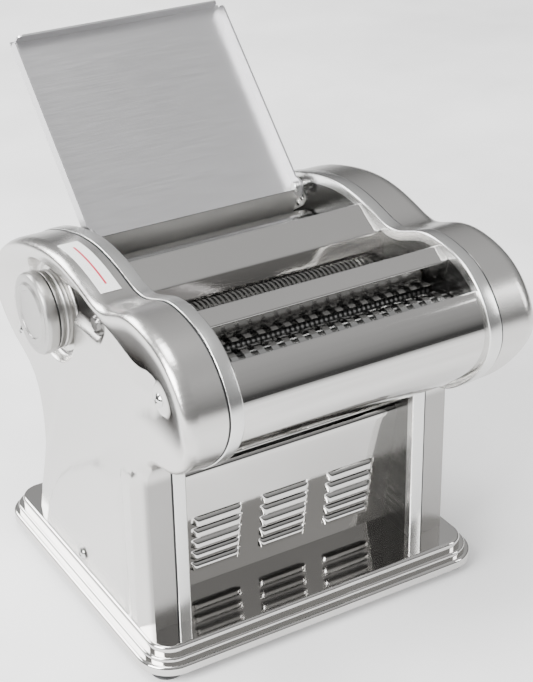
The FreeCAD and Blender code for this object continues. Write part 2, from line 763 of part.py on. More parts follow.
# ---- rollers ----
def smooth_roller(axis, left_end, right_end):
    half = side_in - roller_end_gap
    body = rod_x(-half, half, axis, sheet_r)
    body = body.makeChamfer(0.6, [e for e in body.Edges if len(e.Vertexes) == 1])
    return body.fuse(rod_x(left_end, right_end, axis, shaft_radius)).removeSplitter()


def disc_layout(name):
    """Pitch and width of a cutter's discs, and where each starts along X.

    The front roller of a pair is shifted half a pitch, so that its discs run in its mate's grooves.
    """
    pitch = narrow_pitch if "narrow" in name else wide_pitch
    offset = pitch / 2 if "front" in name else 0
    count = int((2 * (side_in - roller_end_gap) - 4) / pitch)
    disc = pitch / 2 - disc_side_clearance
    first = -count * pitch / 2 + offset + (pitch / 2 - disc) / 2
    return pitch, disc, [first + k * pitch for k in range(count)]


def grooved_roller(name, axis, left_end, right_end):
    """Discs with square grooves between them."""
    half = side_in - roller_end_gap
    _, disc, starts = disc_layout(name)
    root = cutter_r - groove_depth
    pairs = [(left_end, 0), (left_end, cutter_shaft_radius), (-half, cutter_shaft_radius),
             (-half, root)]
    for x in starts:
        pairs += [(x, root), (x, cutter_r), (x + disc, cutter_r), (x + disc, root)]
    pairs += [(half, root), (half, cutter_shaft_radius), (right_end, cutter_shaft_radius),
              (right_end, 0)]
    wire = Part.makePolygon([Vector(x, 0, r) for x, r in pairs + pairs[:1]])
    solid = Part.Face(wire).revolve(Vector(0, 0, 0), Vector(1, 0, 0), 360)
    solid.translate(Vector(0, axis[0], axis[1]))
    return solid


def add_rollers():
    out_left = -plate_out - bush_flange - 2
    parts["sheet_roller_front"] = smooth_roller(front_axis, out_left, gears_out)
    parts["sheet_roller_rear"] = smooth_roller(rear_axis, -plate_out - block_width + 3.0,
                                               plane_1 + plane_width[0])
    far = {"narrow_cutter_rear": plane_2 + plane_width[1], "narrow_cutter_front": gears_out,
           "wide_cutter_rear": gears_out, "wide_cutter_front": plane_2 + plane_width[1]}
    for name, axis in cutter_axes.items():
        parts[name] = grooved_roller(name, axis, out_left, far[name])


def add_gears():
    sheet_reach = dict(addendum=1.2, dedendum=1.35)
    front = gear(sheet_module, sheet_teeth, front_axis, 0.0, *in_plane(1), **sheet_reach)
    hub = rod_x(in_plane(1)[1], in_plane(3)[0], front_axis, shaft_radius + 4)
    transfer = gear(middle_module, transfer_teeth, front_axis, 0.0, *in_plane(3))
    bore = rod_x(0, beyond, front_axis, shaft_radius)
    parts["sheet_gear_front"] = fuse([front, hub, transfer]).cut(bore)
    phase = meshed_phase(front_axis, sheet_r, 0.0, rear_axis, sheet_r, sheet_teeth)
    rear = gear(sheet_module, sheet_teeth, rear_axis, phase, *in_plane(1), **sheet_reach)
    parts["sheet_gear_rear"] = rear.cut(rod_x(0, beyond, rear_axis, shaft_radius))

    main_phase = meshed_phase(front_axis, sheet_r, 0.0, main_idler_axis, main_idler_r,
                              main_idler_teeth)
    idler = gear(sheet_module, main_idler_teeth, main_idler_axis, main_phase, *in_plane(1))
    idler_bore = stud_radius + running_clearance
    parts["main_idler_gear"] = idler.cut(rod_x(0, beyond, main_idler_axis, idler_bore))
    phase = meshed_phase(main_idler_axis, main_idler_r, main_phase, motor_axis, pinion_r,
                         pinion_teeth)
    pinion = gear(sheet_module, pinion_teeth, motor_axis, phase, *in_plane(1))
    shaft = rod_x(side_in - 8, in_plane(1)[1] + 1, motor_axis, shaft_radius)
    parts["motor_pinion"] = fuse([pinion, shaft])

    carry = meshed_phase(front_axis, transfer_r, 0.0, transfer_idler_axis, transfer_idler_r,
                         transfer_idler_teeth)
    idler = gear(middle_module, transfer_idler_teeth, transfer_idler_axis, carry, *in_plane(3))
    parts["cutter_idler_gear"] = idler.cut(rod_x(0, beyond, transfer_idler_axis, idler_bore))

    outer, inner = middle_step / 2, cutter_step / 2
    axes = cutter_axes
    phases = {}
    phases["narrow_cutter_front"] = meshed_phase(
        transfer_idler_axis, transfer_idler_r, carry, axes["narrow_cutter_front"], outer, cutter_teeth)
    phases["wide_cutter_rear"] = meshed_phase(
        axes["narrow_cutter_front"], outer, phases["narrow_cutter_front"],
        axes["wide_cutter_rear"], outer, cutter_teeth)
    for driver, driven in (("narrow_cutter_front", "narrow_cutter_rear"),
                           ("wide_cutter_rear", "wide_cutter_front")):
        phases[driven] = meshed_phase(axes[driver], inner, phases[driver], axes[driven], inner,
                                      cutter_teeth)
    for name, axis in axes.items():
        wheel = gear(cutter_module, cutter_teeth, axis, phases[name], *in_plane(2))
        if name in ("narrow_cutter_front", "wide_cutter_rear"):
            hub = rod_x(in_plane(2)[1], in_plane(3)[0], axis, cutter_shaft_radius + 2)
            wheel = fuse([wheel, hub, gear(middle_module, cutter_teeth, axis, phases[name],
                                           *in_plane(3))])
        parts[name.replace("cutter", "gear")] = wheel.cut(rod_x(0, beyond, axis, cutter_shaft_radius))

    studs = []
    for axis, plane in ((main_idler_axis, 1), (transfer_idler_axis, 3)):
        start, end = in_plane(plane)
        end += stud_end_play
        stud = rod_x(plate_out, end, axis, stud_radius).fuse(
            rod_x(side_in, plate_out, axis, stud_radius - 2))
        collar = rod_x(plate_out, start - 0.3, axis, stud_radius + stud_shoulder)
        washer = rod_x(end, end + stud_washer, axis, stud_radius + stud_shoulder)
        studs.append(stud.fuse([collar, washer]).removeSplitter())
    parts["idler_studs"] = Part.makeCompound(studs)


# ---- gear motor ----
def add_motor():
    y, z = motor_axis
    box_end = side_in - gearbox_length
    housing = box(box_end, side_in, y - gearbox_half, y + gearbox_half, z - gearbox_half,
                  z + gearbox_half - 4)
    housing = housing.makeFillet(gearbox_round, [e for e in housing.Edges if e.BoundBox.XLength > 5])
    housing = housing.cut(rod_x(side_in - 9, side_in + 1, motor_axis, shaft_radius + 1))
    parts["gearbox"] = housing
    motor = rod_x(box_end - motor_length, box_end, motor_axis, motor_radius)
    rims = [e for e in motor.Edges if len(e.Vertexes) == 1 and e.BoundBox.XMax < box_end - 1]
    motor = motor.makeFillet(motor_end_round, rims)
    for k in range(-3, 4):
        x = box_end - motor_length / 2 + k * motor_groove_pitch
        motor = motor.cut(tube_x(x, x + 2.5, motor_axis, motor_radius + 1, motor_radius - 1.2))
    parts["motor"] = motor
    saddles = []
    for x in (box_end - motor_length + 8, box_end - 14):
        saddle = box(x, x + 4, y - 16, y + 16, 0, z - 10)
        saddles.append(saddle.cut(rod_x(-beyond, beyond, motor_axis, motor_radius)))
    sole = box(box_end - motor_length, box_end, y - 22, y + 22, 0, bracket_sheet)
    parts["motor_bracket"] = fuse([sole] + saddles)


# ---- thickness adjuster ----
def add_adjuster():
    y0 = block_front + block_slide_gap
    y1 = rear_y + block_reach - block_slide_gap
    low, high = sheet_z - block_height / 2, sheet_z + block_height / 2
    half = side_in - roller_end_gap + 0.4
    rod_axis = (rear_y + block_reach - 4.0, sheet_z - 7)
    pin_axis = (rear_y + scroll_start, sheet_z)
    scroll_start_x = -plate_out - block_width - 0.5
    for side in ("left", "right"):
        turn = mirrored if side == "left" else (lambda s: s)
        outer = plate_out + (block_width if side == "left" else bush_flange)
        block = box(side_in - 0.4, outer, y0, y1, low, high)
        if side == "left":
            lip = box(plate_out + 0.1, outer, y0, y1, low - 3, high + 3)
            block = block.fuse(lip).removeSplitter()
        block = block.cut(rod_x(0, beyond, rear_axis, shaft_radius + running_clearance))
        block = block.cut(rod_x(0, beyond, rod_axis, carriage_rod_radius))
        if side == "left":
            block = block.cut(rod_x(plate_out - 1, beyond, pin_axis, scroll_pin_radius))
        parts[side + "_bearing_block"] = turn(block)
    parts["carriage_rod"] = rod_x(-plate_out, plate_out, rod_axis, carriage_rod_radius)
    pin_end = scroll_start_x - scroll_width
    pin = rod_x(-plate_out + 1, pin_end, pin_axis, scroll_pin_radius)
    parts["scroll_pin"] = pin

    disc = rod_x(scroll_start_x - scroll_width, scroll_start_x, rear_axis, scroll_radius)
    slot = spiral_slot()
    slot.translate(Vector(scroll_start_x - scroll_width - 1, rear_y, sheet_z))
    disc = disc.cut(slot)
    knob_face = -face_out + knob_pocket_depth - knob_seat_gap - knob_length
    shaft = rod_x(knob_face + 3.5, scroll_start_x - scroll_width, rear_axis, adjuster_shaft_radius)
    flat = box(knob_face, -face_out + knob_pocket_depth - 0.3, rear_y - 20, rear_y + 20,
               sheet_z + adjuster_shaft_radius - adjuster_flat, sheet_z + 20)
    parts["scroll_disc"] = disc.fuse(shaft).removeSplitter().cut(flat)
    parts["knob"] = knob(knob_face)


def spiral_slot():
    """The slot whose radius grows evenly as the disc turns, drawn about the origin."""
    turn = math.radians(scroll_turn)
    rate = gap_travel / turn
    half = scroll_pin_radius + running_clearance
    walls = {-1: [], 1: []}
    count = 12
    for k in range(count + 1):
        angle = turn * k / count
        radius = scroll_start + rate * angle
        centre = Vector(0, radius * math.cos(-angle), radius * math.sin(-angle))
        along = Vector(0, rate * math.cos(-angle) + radius * math.sin(-angle),
                       rate * math.sin(-angle) - radius * math.cos(-angle)).normalize()
        across = Vector(0, -along.z, along.y)
        for side in walls:
            walls[side].append(centre + across * (side * half))
        if k == 0:
            near = centre - along * half
        far = centre + along * half
    edges = []
    for side in walls:
        curve = Part.BSplineCurve()
        curve.interpolate(walls[side])
        edges.append(curve.toShape())
    edges.append(Part.Arc(walls[-1][0], near, walls[1][0]).toShape())
    edges.append(Part.Arc(walls[-1][-1], far, walls[1][-1]).toShape())
    wire = Part.Wire(Part.__sortEdges__(edges))
    return Part.Face(wire).extrude(Vector(scroll_width + 2, 0, 0))


def knob(face_x):
    """Turned knob about X: ridged body, dark seam, cap with a ring round a flat middle."""
    cap = 8.0
    back = face_x + knob_length
    r, body = knob_radius, knob_body_radius
    pairs = [(face_x, 0), (face_x, r * 0.62), (face_x + 0.9, r * 0.70), (face_x + 0.5, r * 0.78),
             (face_x + 1.6, r - 0.8), (face_x + 3.0, r), (face_x + cap, r), (face_x + cap, r - 1.2),
             (face_x + cap + 0.8, r - 1.2), (face_x + cap + 0.8, body),
             (face_x + cap + 4.2, body - 0.7), (face_x + cap + 5.2, body),
             (back - 1.5, body - 0.4), (back, body - 1.6), (back, 0)]
    wire = Part.makePolygon([Vector(x, 0, radius) for x, radius in pairs + pairs[:1]])
    solid = Part.Face(wire).revolve(Vector(0, 0, 0), Vector(1, 0, 0), 360)
    solid.translate(Vector(0, rear_y, sheet_z))
    hole = rod_x(face_x + 3.0, back + 1, rear_axis, adjuster_shaft_radius + running_clearance)
    flat = box(face_x, back + 2, rear_y - 20, rear_y + 20,
               sheet_z + adjuster_shaft_radius - adjuster_flat + running_clearance, sheet_z + 20)
    return solid.cut(hole.cut(flat))


# ---- feed tray / lid ----
def add_lid():
    """Drawn flat with its pivot at the origin, sheet along +Y, then leaned back."""
    sheet_low = -lid_pivot_lift
    panel = box(-lid_half_width, lid_half_width, 0, lid_length, sheet_low - lid_sheet, sheet_low)
    top_flange = box(-lid_half_width + lid_notch, lid_half_width - lid_notch,
                     lid_length - lid_sheet, lid_length, sheet_low, sheet_low + lid_flange)
    top_flange = top_flange.makeFillet(lid_flange * 0.45, [
        e for e in top_flange.Edges
        if e.BoundBox.YLength > 0.5 and e.BoundBox.XLength < 0.01 and e.BoundBox.ZMax > sheet_low + 1
        and e.BoundBox.ZLength < 0.01])
    end = lid_length - lid_notch
    flange_top = sheet_low + lid_flange
    side = prism_x([(0, sheet_low), (end, sheet_low), (end, flange_top), (0, flange_top)],
                   lid_half_width - lid_sheet, lid_half_width, [0, 0, lid_flange * 0.45, 0])
    ear = rod_x(lid_half_width - lid_sheet, lid_half_width, (0, 0), lid_ear)
    side = side.fuse(ear).removeSplitter()
    side = side.cut(rod_x(0, beyond, (0, 0), lid_pin_radius + running_clearance))
    lid = fuse([panel, top_flange, side, mirrored(side)])
    lid.rotate(Vector(0, 0, 0), Vector(1, 0, 0), lid_lean)
    lid.translate(in_yz(lid_pivot))
    parts["lid"] = lid
    pin = rod_x(lid_half_width - lid_sheet - 1.6, plate_out, lid_pivot, lid_pin_radius)
    head = rod_x(lid_half_width - lid_sheet - 2.6, lid_half_width - lid_sheet - 0.2, lid_pivot,
                 lid_pin_radius + 1.4)
    spacer = rod_x(lid_half_width + 0.2, side_in, lid_pivot, lid_pin_radius + 1.5)
    pin = pin.fuse([head.makeFillet(0.8, [head.Edges[2]]), spacer]).removeSplitter()
    parts["lid_pins"] = Part.makeCompound([pin, mirrored(pin)])


# ---- inner trim: scrapers and combs ----
def add_scrapers():
    blades = []
    for axis, lean in ((front_axis, -1), (rear_axis, 1)):
        tip = (axis[0], axis[1] - sheet_r - 0.4)
        foot = (axis[0] + lean * 9, axis[1] - sheet_r - 7)
        blades.append(bent_sheet([tip, foot] if lean > 0 else [foot, tip], -scraper_sheet, [0, 0],
                                 -side_in, side_in))
    parts["sheet_scrapers"] = Part.makeCompound(blades)
    combs = []
    for name, axis in cutter_axes.items():
        pitch, disc, starts = disc_layout(name)
        low, base, tip = axis[1] - cutter_r - 7, axis[1] - cutter_r - 1, axis[1] - cutter_r + 1.9
        pairs = [(-side_in, base), (-side_in, low), (side_in, low), (side_in, base)]
        groove = pitch - disc
        for x in starts[:0:-1]:
            middle = x - groove / 2
            wide = groove / 2 - 0.3
            pairs += [(middle + wide, base), (middle + wide, tip), (middle - wide, tip),
                      (middle - wide, base)]
        wire = Part.makePolygon([Vector(x, 0, z) for x, z in pairs + pairs[:1]])
        comb = Part.Face(wire).extrude(Vector(0, 1.2, 0))
        comb.translate(Vector(0, axis[0] - 0.6, 0))
        combs.append(comb)
    parts["cutter_combs"] = Part.makeCompound(combs)


# ---- switch and mains inlet on the rear panel ----
def add_controls():
    back = rear_panel_y + panel_sheet
    wide, tall = switch_width / 2, switch_tall / 2
    bezel = box(switch_x - wide - bezel_rim, switch_x + wide + bezel_rim, back, back + 2.5,
                control_z - tall - bezel_rim, control_z + tall + bezel_rim)
    bezel = bezel.makeFillet(1.0, [e for e in bezel.Edges if e.BoundBox.YMin > back + 2])
    body = box(switch_x - wide, switch_x + wide, rear_panel_y - 12, back,
               control_z - tall, control_z + tall)
    mouth_x, mouth_z = wide - controls_wall, tall - controls_wall
    mouth = box(switch_x - mouth_x, switch_x + mouth_x, rear_panel_y - 6, back + 5,
                control_z - mouth_z, control_z + mouth_z)
    half_x = mouth_x - rocker_gap
    pivot_y = back - 1.0
    pivot = (pivot_y, control_z)
    pin = rod_x(switch_x - wide + 0.6, switch_x + wide - 0.6, pivot, rocker_pin_radius)
    sockets = rod_x(switch_x - wide + 0.5, switch_x + wide - 0.5, pivot,
                    rocker_pin_radius + running_clearance)
    housing = bezel.fuse(body).removeSplitter()
    parts["switch_housing"] = housing.cut(mouth.fuse(sockets))
    rocker = prism_x([(pivot_y - 3, control_z - 4), (pivot_y + 3.2, control_z - 4.6),
                      (pivot_y + 2.2, control_z), (pivot_y + 4.6, control_z + 4.9),
                      (pivot_y - 3, control_z + 4)],
                     switch_x - half_x, switch_x + half_x, [1, 0.8, 6, 0.8, 1])
    parts["switch_rocker"] = rocker.fuse(pin).removeSplitter()
    wide, tall = inlet_width / 2, inlet_tall / 2
    flange = box(inlet_x - wide - inlet_ear, inlet_x + wide + inlet_ear, back, back + 2,
                 control_z - tall - 1, control_z + tall + 1)
    flange = flange.makeFillet(2.5, [e for e in flange.Edges if e.BoundBox.YLength > 1.5])
    shell_x, shell_z = wide - controls_wall, tall - controls_wall
    shell = box(inlet_x - shell_x, inlet_x + shell_x, rear_panel_y - 18, back + 2,
                control_z - shell_z, control_z + shell_z)
    well_x, well_z = shell_x - controls_wall, shell_z - controls_wall
    well = box(inlet_x - well_x, inlet_x + well_x, rear_panel_y - 14, back + 5,
               control_z - well_z, control_z + well_z)
    inlet = flange.fuse(shell).removeSplitter().cut(well)
    for x, z in ((inlet_x, control_z + 3), (inlet_x - 7, control_z - 3),
                 (inlet_x + 7, control_z - 3)):
        inlet = inlet.fuse(box(x - 1, x + 1, rear_panel_y - 15, back - 3, z - 2, z + 2))
    parts["power_inlet"] = inlet.removeSplitter()


add_base()
add_sides()
add_sheets()
add_hopper()
add_rods()
add_rollers()
add_gears()
add_motor()
add_adjuster()
add_lid()
add_scrapers()
add_controls()

os.makedirs("parts", exist_ok=True)
for node, shape in parts.items():
    moved = shape.copy()
    moved.translate(Vector(0, origin_forward, tray_height + foot_height))
    moved.exportStep("parts/" + node + ".step")
print(len(parts), "nodes")
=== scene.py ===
import math

import bpy
import numpy as np
from mathutils import Matrix, Vector
from mathutils.geometry import delaunay_2d_cdt


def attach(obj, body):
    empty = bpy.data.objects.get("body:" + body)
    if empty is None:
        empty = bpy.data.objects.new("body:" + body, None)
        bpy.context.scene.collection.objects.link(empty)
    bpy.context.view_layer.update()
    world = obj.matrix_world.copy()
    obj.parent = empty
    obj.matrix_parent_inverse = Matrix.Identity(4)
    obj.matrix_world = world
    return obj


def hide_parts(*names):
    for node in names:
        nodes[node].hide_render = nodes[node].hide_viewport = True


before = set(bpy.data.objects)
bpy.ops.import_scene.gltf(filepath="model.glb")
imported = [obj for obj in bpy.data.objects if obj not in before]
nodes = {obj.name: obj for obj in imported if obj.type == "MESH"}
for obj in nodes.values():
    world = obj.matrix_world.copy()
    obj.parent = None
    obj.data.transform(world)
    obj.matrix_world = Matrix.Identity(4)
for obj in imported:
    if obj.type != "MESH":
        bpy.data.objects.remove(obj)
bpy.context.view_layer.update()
MM = 0.001
# the drawing's origin (middle of the tray's top) in the row frame, in millimetres
ORIGIN_Y, ORIGIN_Z = 7.5, 20.5


# ---------------------------------------------------------------- materials
def colour_ramp(tree, fac, stops):
    """Colour output of a ramp with (position, colour) stops, fed by fac."""
    ramp = tree.nodes.new("ShaderNodeValToRGB")
    elements = ramp.color_ramp.elements
    while len(elements) > 1:
        elements.remove(elements[-1])
    for k, (at, colour) in enumerate(stops):
        element = elements[0] if k == 0 else elements.new(at)
        element.position = at
        element.color = (*colour, 1)
    tree.links.new(fac, ramp.inputs["Fac"])
    return ramp.outputs["Color"]


class Mat:
    """A procedural material on a Principled shader, built up a node at a time."""

    def __init__(self, name, colour, metallic, roughness):
        self.m = bpy.data.materials.new(name)
        self.m.use_nodes = True
        self.tree = self.m.node_tree
        self.bsdf = self.tree.nodes["Principled BSDF"]
        self.bsdf.inputs["Base Color"].default_value = (*colour, 1)
        self.bsdf.inputs["Metallic"].default_value = metallic
        self.bsdf.inputs["Roughness"].default_value = roughness
        self.coord = self.tree.nodes.new("ShaderNodeTexCoord")

    def noise(self, scale, stretch=(1, 1, 1), detail=3.0, rough=0.55):
        mapping = self.tree.nodes.new("ShaderNodeMapping")
        mapping.inputs["Scale"].default_value = stretch
        self.tree.links.new(self.coord.outputs["Object"], mapping.inputs["Vector"])
        noise = self.tree.nodes.new("ShaderNodeTexNoise")
        noise.inputs["Scale"].default_value = scale
        noise.inputs["Detail"].default_value = detail
        noise.inputs["Roughness"].default_value = rough
        self.tree.links.new(mapping.outputs["Vector"], noise.inputs["Vector"])
        return noise.outputs["Fac"]

    def ramp(self, fac, stops):
        return colour_ramp(self.tree, fac, stops)

    def remap(self, fac, low, high, start=0.3, end=0.7):
        rng = self.tree.nodes.new("ShaderNodeMapRange")
        rng.inputs["From Min"].default_value = start
        rng.inputs["From Max"].default_value = end
        rng.inputs["To Min"].default_value = low
        rng.inputs["To Max"].default_value = high
        self.tree.links.new(fac, rng.inputs["Value"])
        return rng.outputs["Result"]

    def bump(self, fac, strength, distance):
        bump = self.tree.nodes.new("ShaderNodeBump")
        bump.inputs["Strength"].default_value = strength
        bump.inputs["Distance"].default_value = distance
        self.tree.links.new(fac, bump.inputs["Height"])
        self.tree.links.new(bump.outputs["Normal"], self.bsdf.inputs["Normal"])

    def drive(self, socket, out):
        self.tree.links.new(out, self.bsdf.inputs[socket])


def steel(name, colour, rough, spread=0.05, grain=(60, 900, 900), grain_bump=0.0, mottle=0.04):
    """Steel with a drawn grain: stretched noise in the roughness and a little in the colour."""
    mat = Mat(name, colour, 1.0, rough)
    fine = mat.noise(1.0, grain, 4.0, 0.6)
    cloud = mat.noise(14.0, (1, 1, 1), 3.0)
    mat.drive("Roughness", mat.remap(fine, max(rough - spread, 0.01), rough + spread))
    low = tuple(c * (1 - mottle) for c in colour)
    high = tuple(min(1, c * (1 + mottle)) for c in colour)
    mat.drive("Base Color", mat.ramp(cloud, [(0.3, low), (0.7, high)]))
    if grain_bump:
        mat.bump(fine, grain_bump, 0.00008)
    return mat.m


def shaded_steel(name, colour, dark, rough, spread, grain):
    """Satin steel with painted shade: darker in base colour and edge tint where the mesh's shade
    attribute falls towards 0.
    """
    mat = Mat(name, colour, 1.0, rough)
    fine = mat.noise(1.0, grain, 3.0, 0.5)
    mat.drive("Roughness", mat.remap(fine, rough - spread, rough + spread))
    shade = mat.tree.nodes.new("ShaderNodeAttribute")
    shade.attribute_name = "shade"
    # painted shade: the shade attribute darkens the base colour, and through the specular tint the
    # reflections too
    mat.drive("Base Color", mat.ramp(shade.outputs["Fac"], [(0.0, dark), (1.0, colour)]))
    mat.drive("Specular Tint", mat.ramp(shade.outputs["Fac"], [(0.0, (0.08, 0.08, 0.08)),
                                                               (1.0, (1, 1, 1))]))
    return mat.m


def plastic(name, colour, rough, scale=900.0, bump=0.15, spread=0.08):
    mat = Mat(name, colour, 0.0, rough)
    fine = mat.noise(scale, (1, 1, 1), 4.0, 0.6)
    mat.drive("Roughness", mat.remap(fine, rough - spread, rough + spread))
    mat.drive("Base Color", mat.ramp(fine, [(0.3, tuple(c * 0.85 for c in colour)),
                                            (0.7, tuple(min(1, c * 1.15) for c in colour))]))
    mat.bump(fine, bump, 0.0001)
    return mat.m


looks = {
    "mirror_steel": (steel, (0.60, 0.59, 0.575), 0.075, 0.03, (30, 1200, 1200), 0.02, 0.02),
    # the side covers' satin steel, with painted shade from the mesh's shade attribute
    "brushed_cover": (shaded_steel, (0.60, 0.59, 0.575), (0.085, 0.082, 0.08), 0.26, 0.012,
                      (2600, 1400, 1400)),
    "satin_band": (steel, (0.70, 0.70, 0.69), 0.26, 0.012, (2600, 1400, 1400), 0.0, 0.01),
    "side_steel": (steel, (0.22, 0.22, 0.215), 0.22, 0.05, (900, 60, 900), 0.03, 0.03),
    "lid_steel": (steel, (0.66, 0.655, 0.665), 0.33, 0.05, (40, 1500, 1500), 0.05, 0.015),
    "roller_steel": (steel, (0.36, 0.36, 0.355), 0.18, 0.06, (40, 900, 900), 0.05, 0.04),
    "gear_steel": (steel, (0.42, 0.42, 0.43), 0.34, 0.08, (500, 500, 500), 0.1, 0.1),
    "black_rubber": (plastic, (0.012, 0.012, 0.013), 0.55),
    "bright_screw": (steel, (0.62, 0.62, 0.61), 0.09, 0.04, (900, 900, 900), 0.02, 0.04),
    "bronze": (steel, (0.50, 0.33, 0.16), 0.36, 0.08, (500, 500, 500), 0.1, 0.12),
    "knob_metal": (steel, (0.40, 0.395, 0.385), 0.32, 0.015, (2600, 2600, 2600), 0.0, 0.02),
    "label_white": (plastic, (0.80, 0.80, 0.79), 0.42, 1500.0, 0.04),
    "motor_casting": (steel, (0.30, 0.31, 0.32), 0.5, 0.1, (300, 300, 300), 0.2, 0.15),
    "black_plastic": (plastic, (0.02, 0.02, 0.022), 0.42),
    # near black: the knob's dark seam, and the louvre openings, painted black as painted shade of
    # the inside
    "slot_dark": (plastic, (0.012, 0.012, 0.012), 0.5),
    "label_red": (plastic, (0.55, 0.02, 0.06), 0.42, 1500.0, 0.04),
    # the hopper plate's steel: its light colour is painted light on a plate that stands in shadow;
    # its higher roughness is real
    "hopper_satin": (steel, (0.80, 0.79, 0.77), 0.55, 0.05, (40, 900, 900), 0.03, 0.02),
    "comb_plastic": (plastic, (0.07, 0.07, 0.072), 0.45),
}
finish = {name: make(name, *values) for name, (make, *values) in looks.items()}
node_lists = {
    "mirror_steel": ["base_tray", "front_panel", "roller_cover_front", "roller_cover_middle",
                     "roller_cover_rear", "rear_hood", "rear_panel"],
    "brushed_cover": ["left_cover", "right_cover"],
    "satin_band": ["left_rim_band", "right_rim_band"],
    "side_steel": ["left_side_plate", "right_side_plate", "hopper_plate", "bottom_plate",
                   "sheet_scrapers", "motor_bracket", "cover_posts", "tie_rods",
                   "left_bearing_block", "right_bearing_block", "carriage_rod", "scroll_disc",
                   "scroll_pin", "idler_studs"],
    "lid_steel": ["lid"],
    "roller_steel": ["sheet_roller_front", "sheet_roller_rear", "narrow_cutter_front",
                     "narrow_cutter_rear", "wide_cutter_front", "wide_cutter_rear"],
    "gear_steel": ["sheet_gear_front", "sheet_gear_rear", "narrow_gear_front", "narrow_gear_rear",
                   "wide_gear_front", "wide_gear_rear", "main_idler_gear", "cutter_idler_gear",
                   "motor_pinion"],
    "black_rubber": ["left_gasket", "right_gasket", "foot_front_left", "foot_front_right",
                     "foot_rear_left", "foot_rear_right"],
    "bright_screw": ["cover_screws", "foot_screws", "hopper_rivets", "lid_pins"],
    "bronze": ["roller_bushes"],
    "knob_metal": ["knob"],
    "label_white": ["label_plate"],
    "motor_casting": ["motor", "gearbox"],
    "black_plastic": ["switch_housing", "switch_rocker", "power_inlet"],
    "comb_plastic": ["cutter_combs"],
}
slot_of = {n: slot for slot, members in node_lists.items() for n in members}
for n, o in nodes.items():
    o.data.materials.clear()
    # the hopper plate takes the lighter steel: painted light
    o.data.materials.append(finish["hopper_satin" if n == "hopper_plate" else slot_of[n]])

# ---------------------------------------------------------------- mesh helpers
def row(y, z):
    """Drawing (y, z) in millimetres to row-frame metres."""
    return (y + ORIGIN_Y) * MM, (z + ORIGIN_Z) * MM


def build(name, verts, faces, body, slot, stands_for=(), normals=None, sharp=35.0, materials=None):
    """A piece from row-frame vertices, riding a body and standing for the CAD nodes named."""
    mesh = bpy.data.meshes.new(name)
    mesh.from_pydata([tuple(v) for v in verts], [], faces)
    mesh.materials.append(finish[slot])
    for extra in materials or []:
        mesh.materials.append(finish[extra])
    mesh.polygons.foreach_set("use_smooth", [True] * len(mesh.polygons))
    if normals is not None:
        mesh.normals_split_custom_set_from_vertices([tuple(n) for n in normals])
    elif sharp:
        mesh.set_sharp_from_angle(angle=math.radians(sharp))
    mesh.validate(verbose=False)
    obj = bpy.data.objects.new(name, mesh)
    bpy.context.scene.collection.objects.link(obj)
    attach(obj, body)
    if stands_for:
        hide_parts(*stands_for)
    return obj


def strip(rows, closed=False):
    """Quads between rows of equal vertex count; rows are lists of vertex numbers."""
    faces = []
    for a, b in zip(rows, rows[1:]):
        n = len(a)
        for k in range(n if closed else n - 1):
            m = (k + 1) % n
            faces.append((a[k], a[m], b[m], b[k]))
    return faces


def smooth_step(a, b, v):
    t = np.clip((v - a) / (b - a), 0, 1)
    return t * t * (3 - 2 * t)


# ---------------------------------------------------------------- the side outline, from the frame
def rim_outline():
    """Drawing (y, z) along the left band's outer edge, from the front foot to the rear foot."""
    mesh = nodes["left_rim_band"].data
    co = np.array([v.co for v in mesh.vertices], float) / MM
    face_x = co[:, 0].min()
    keys, ids = {}, []
    for p in co:
        ids.append(keys.setdefault((round(p[1], 3), round(p[2], 3)), len(keys)))
    points = np.array(list(keys), float)
    mesh.calc_loop_triangles()
    count = {}
    for tri in mesh.loop_triangles:
        if all(co[v, 0] < face_x + 0.01 for v in tri.vertices):
            k = [ids[v] for v in tri.vertices]
            for a, b in ((k[0], k[1]), (k[1], k[2]), (k[2], k[0])):
                edge = (min(a, b), max(a, b))
                count[edge] = count.get(edge, 0) + 1
    near = {}
    for (a, b), times in count.items():
        if times == 1 and a != b:
            near.setdefault(a, []).append(b)
            near.setdefault(b, []).append(a)
    floor_z = points[:, 1].min()
    feet = [k for k in near if points[k, 1] < floor_z + 0.01]
    here = min(feet, key=lambda k: points[k, 0])
    path, before = [here], None
    while True:
        ahead = [k for k in near[here] if k != before]
        before, here = here, max(ahead, key=lambda k: points[k, 1]) if before is None else ahead[0]
        path.append(here)
        if points[here, 1] < floor_z + 0.01:
            break
    found = points[path]
    return np.column_stack([found[:, 0] - ORIGIN_Y, found[:, 1] - ORIGIN_Z])


def resampled(path, step):
    seg = np.hypot(*np.diff(path, axis=0).T)
    along = np.concatenate([[0], np.cumsum(seg)])
    at = np.linspace(0, along[-1], max(2, int(along[-1] / step)))
    return np.column_stack([np.interp(at, along, path[:, 0]), np.interp(at, along, path[:, 1])])


def outward(path):
    """Unit normals pointing away from the body, smoothed along the path."""
    t = np.gradient(path, axis=0)
    t /= np.linalg.norm(t, axis=1)[:, None]
    n = np.column_stack([-t[:, 1], t[:, 0]])
    kernel = np.hanning(9)
    kernel /= kernel.sum()
    pad = np.vstack([np.repeat(n[:1], 4, 0), n, np.repeat(n[-1:], 4, 0)])
    n = np.column_stack([np.convolve(pad[:, k], kernel, "valid") for k in (0, 1)])
    return n / np.linalg.norm(n, axis=1)[:, None]


outline = resampled(rim_outline(), 1.3)
outline_n = outward(outline)


def offset_loop(d, path=None, normal=None):
    path = outline if path is None else path
    normal = outline_n if normal is None else normal
    loop = path - normal * np.asarray(d).reshape(-1, 1)
    loop[:, 1] = np.maximum(loop[:, 1], 0.0)
    return loop


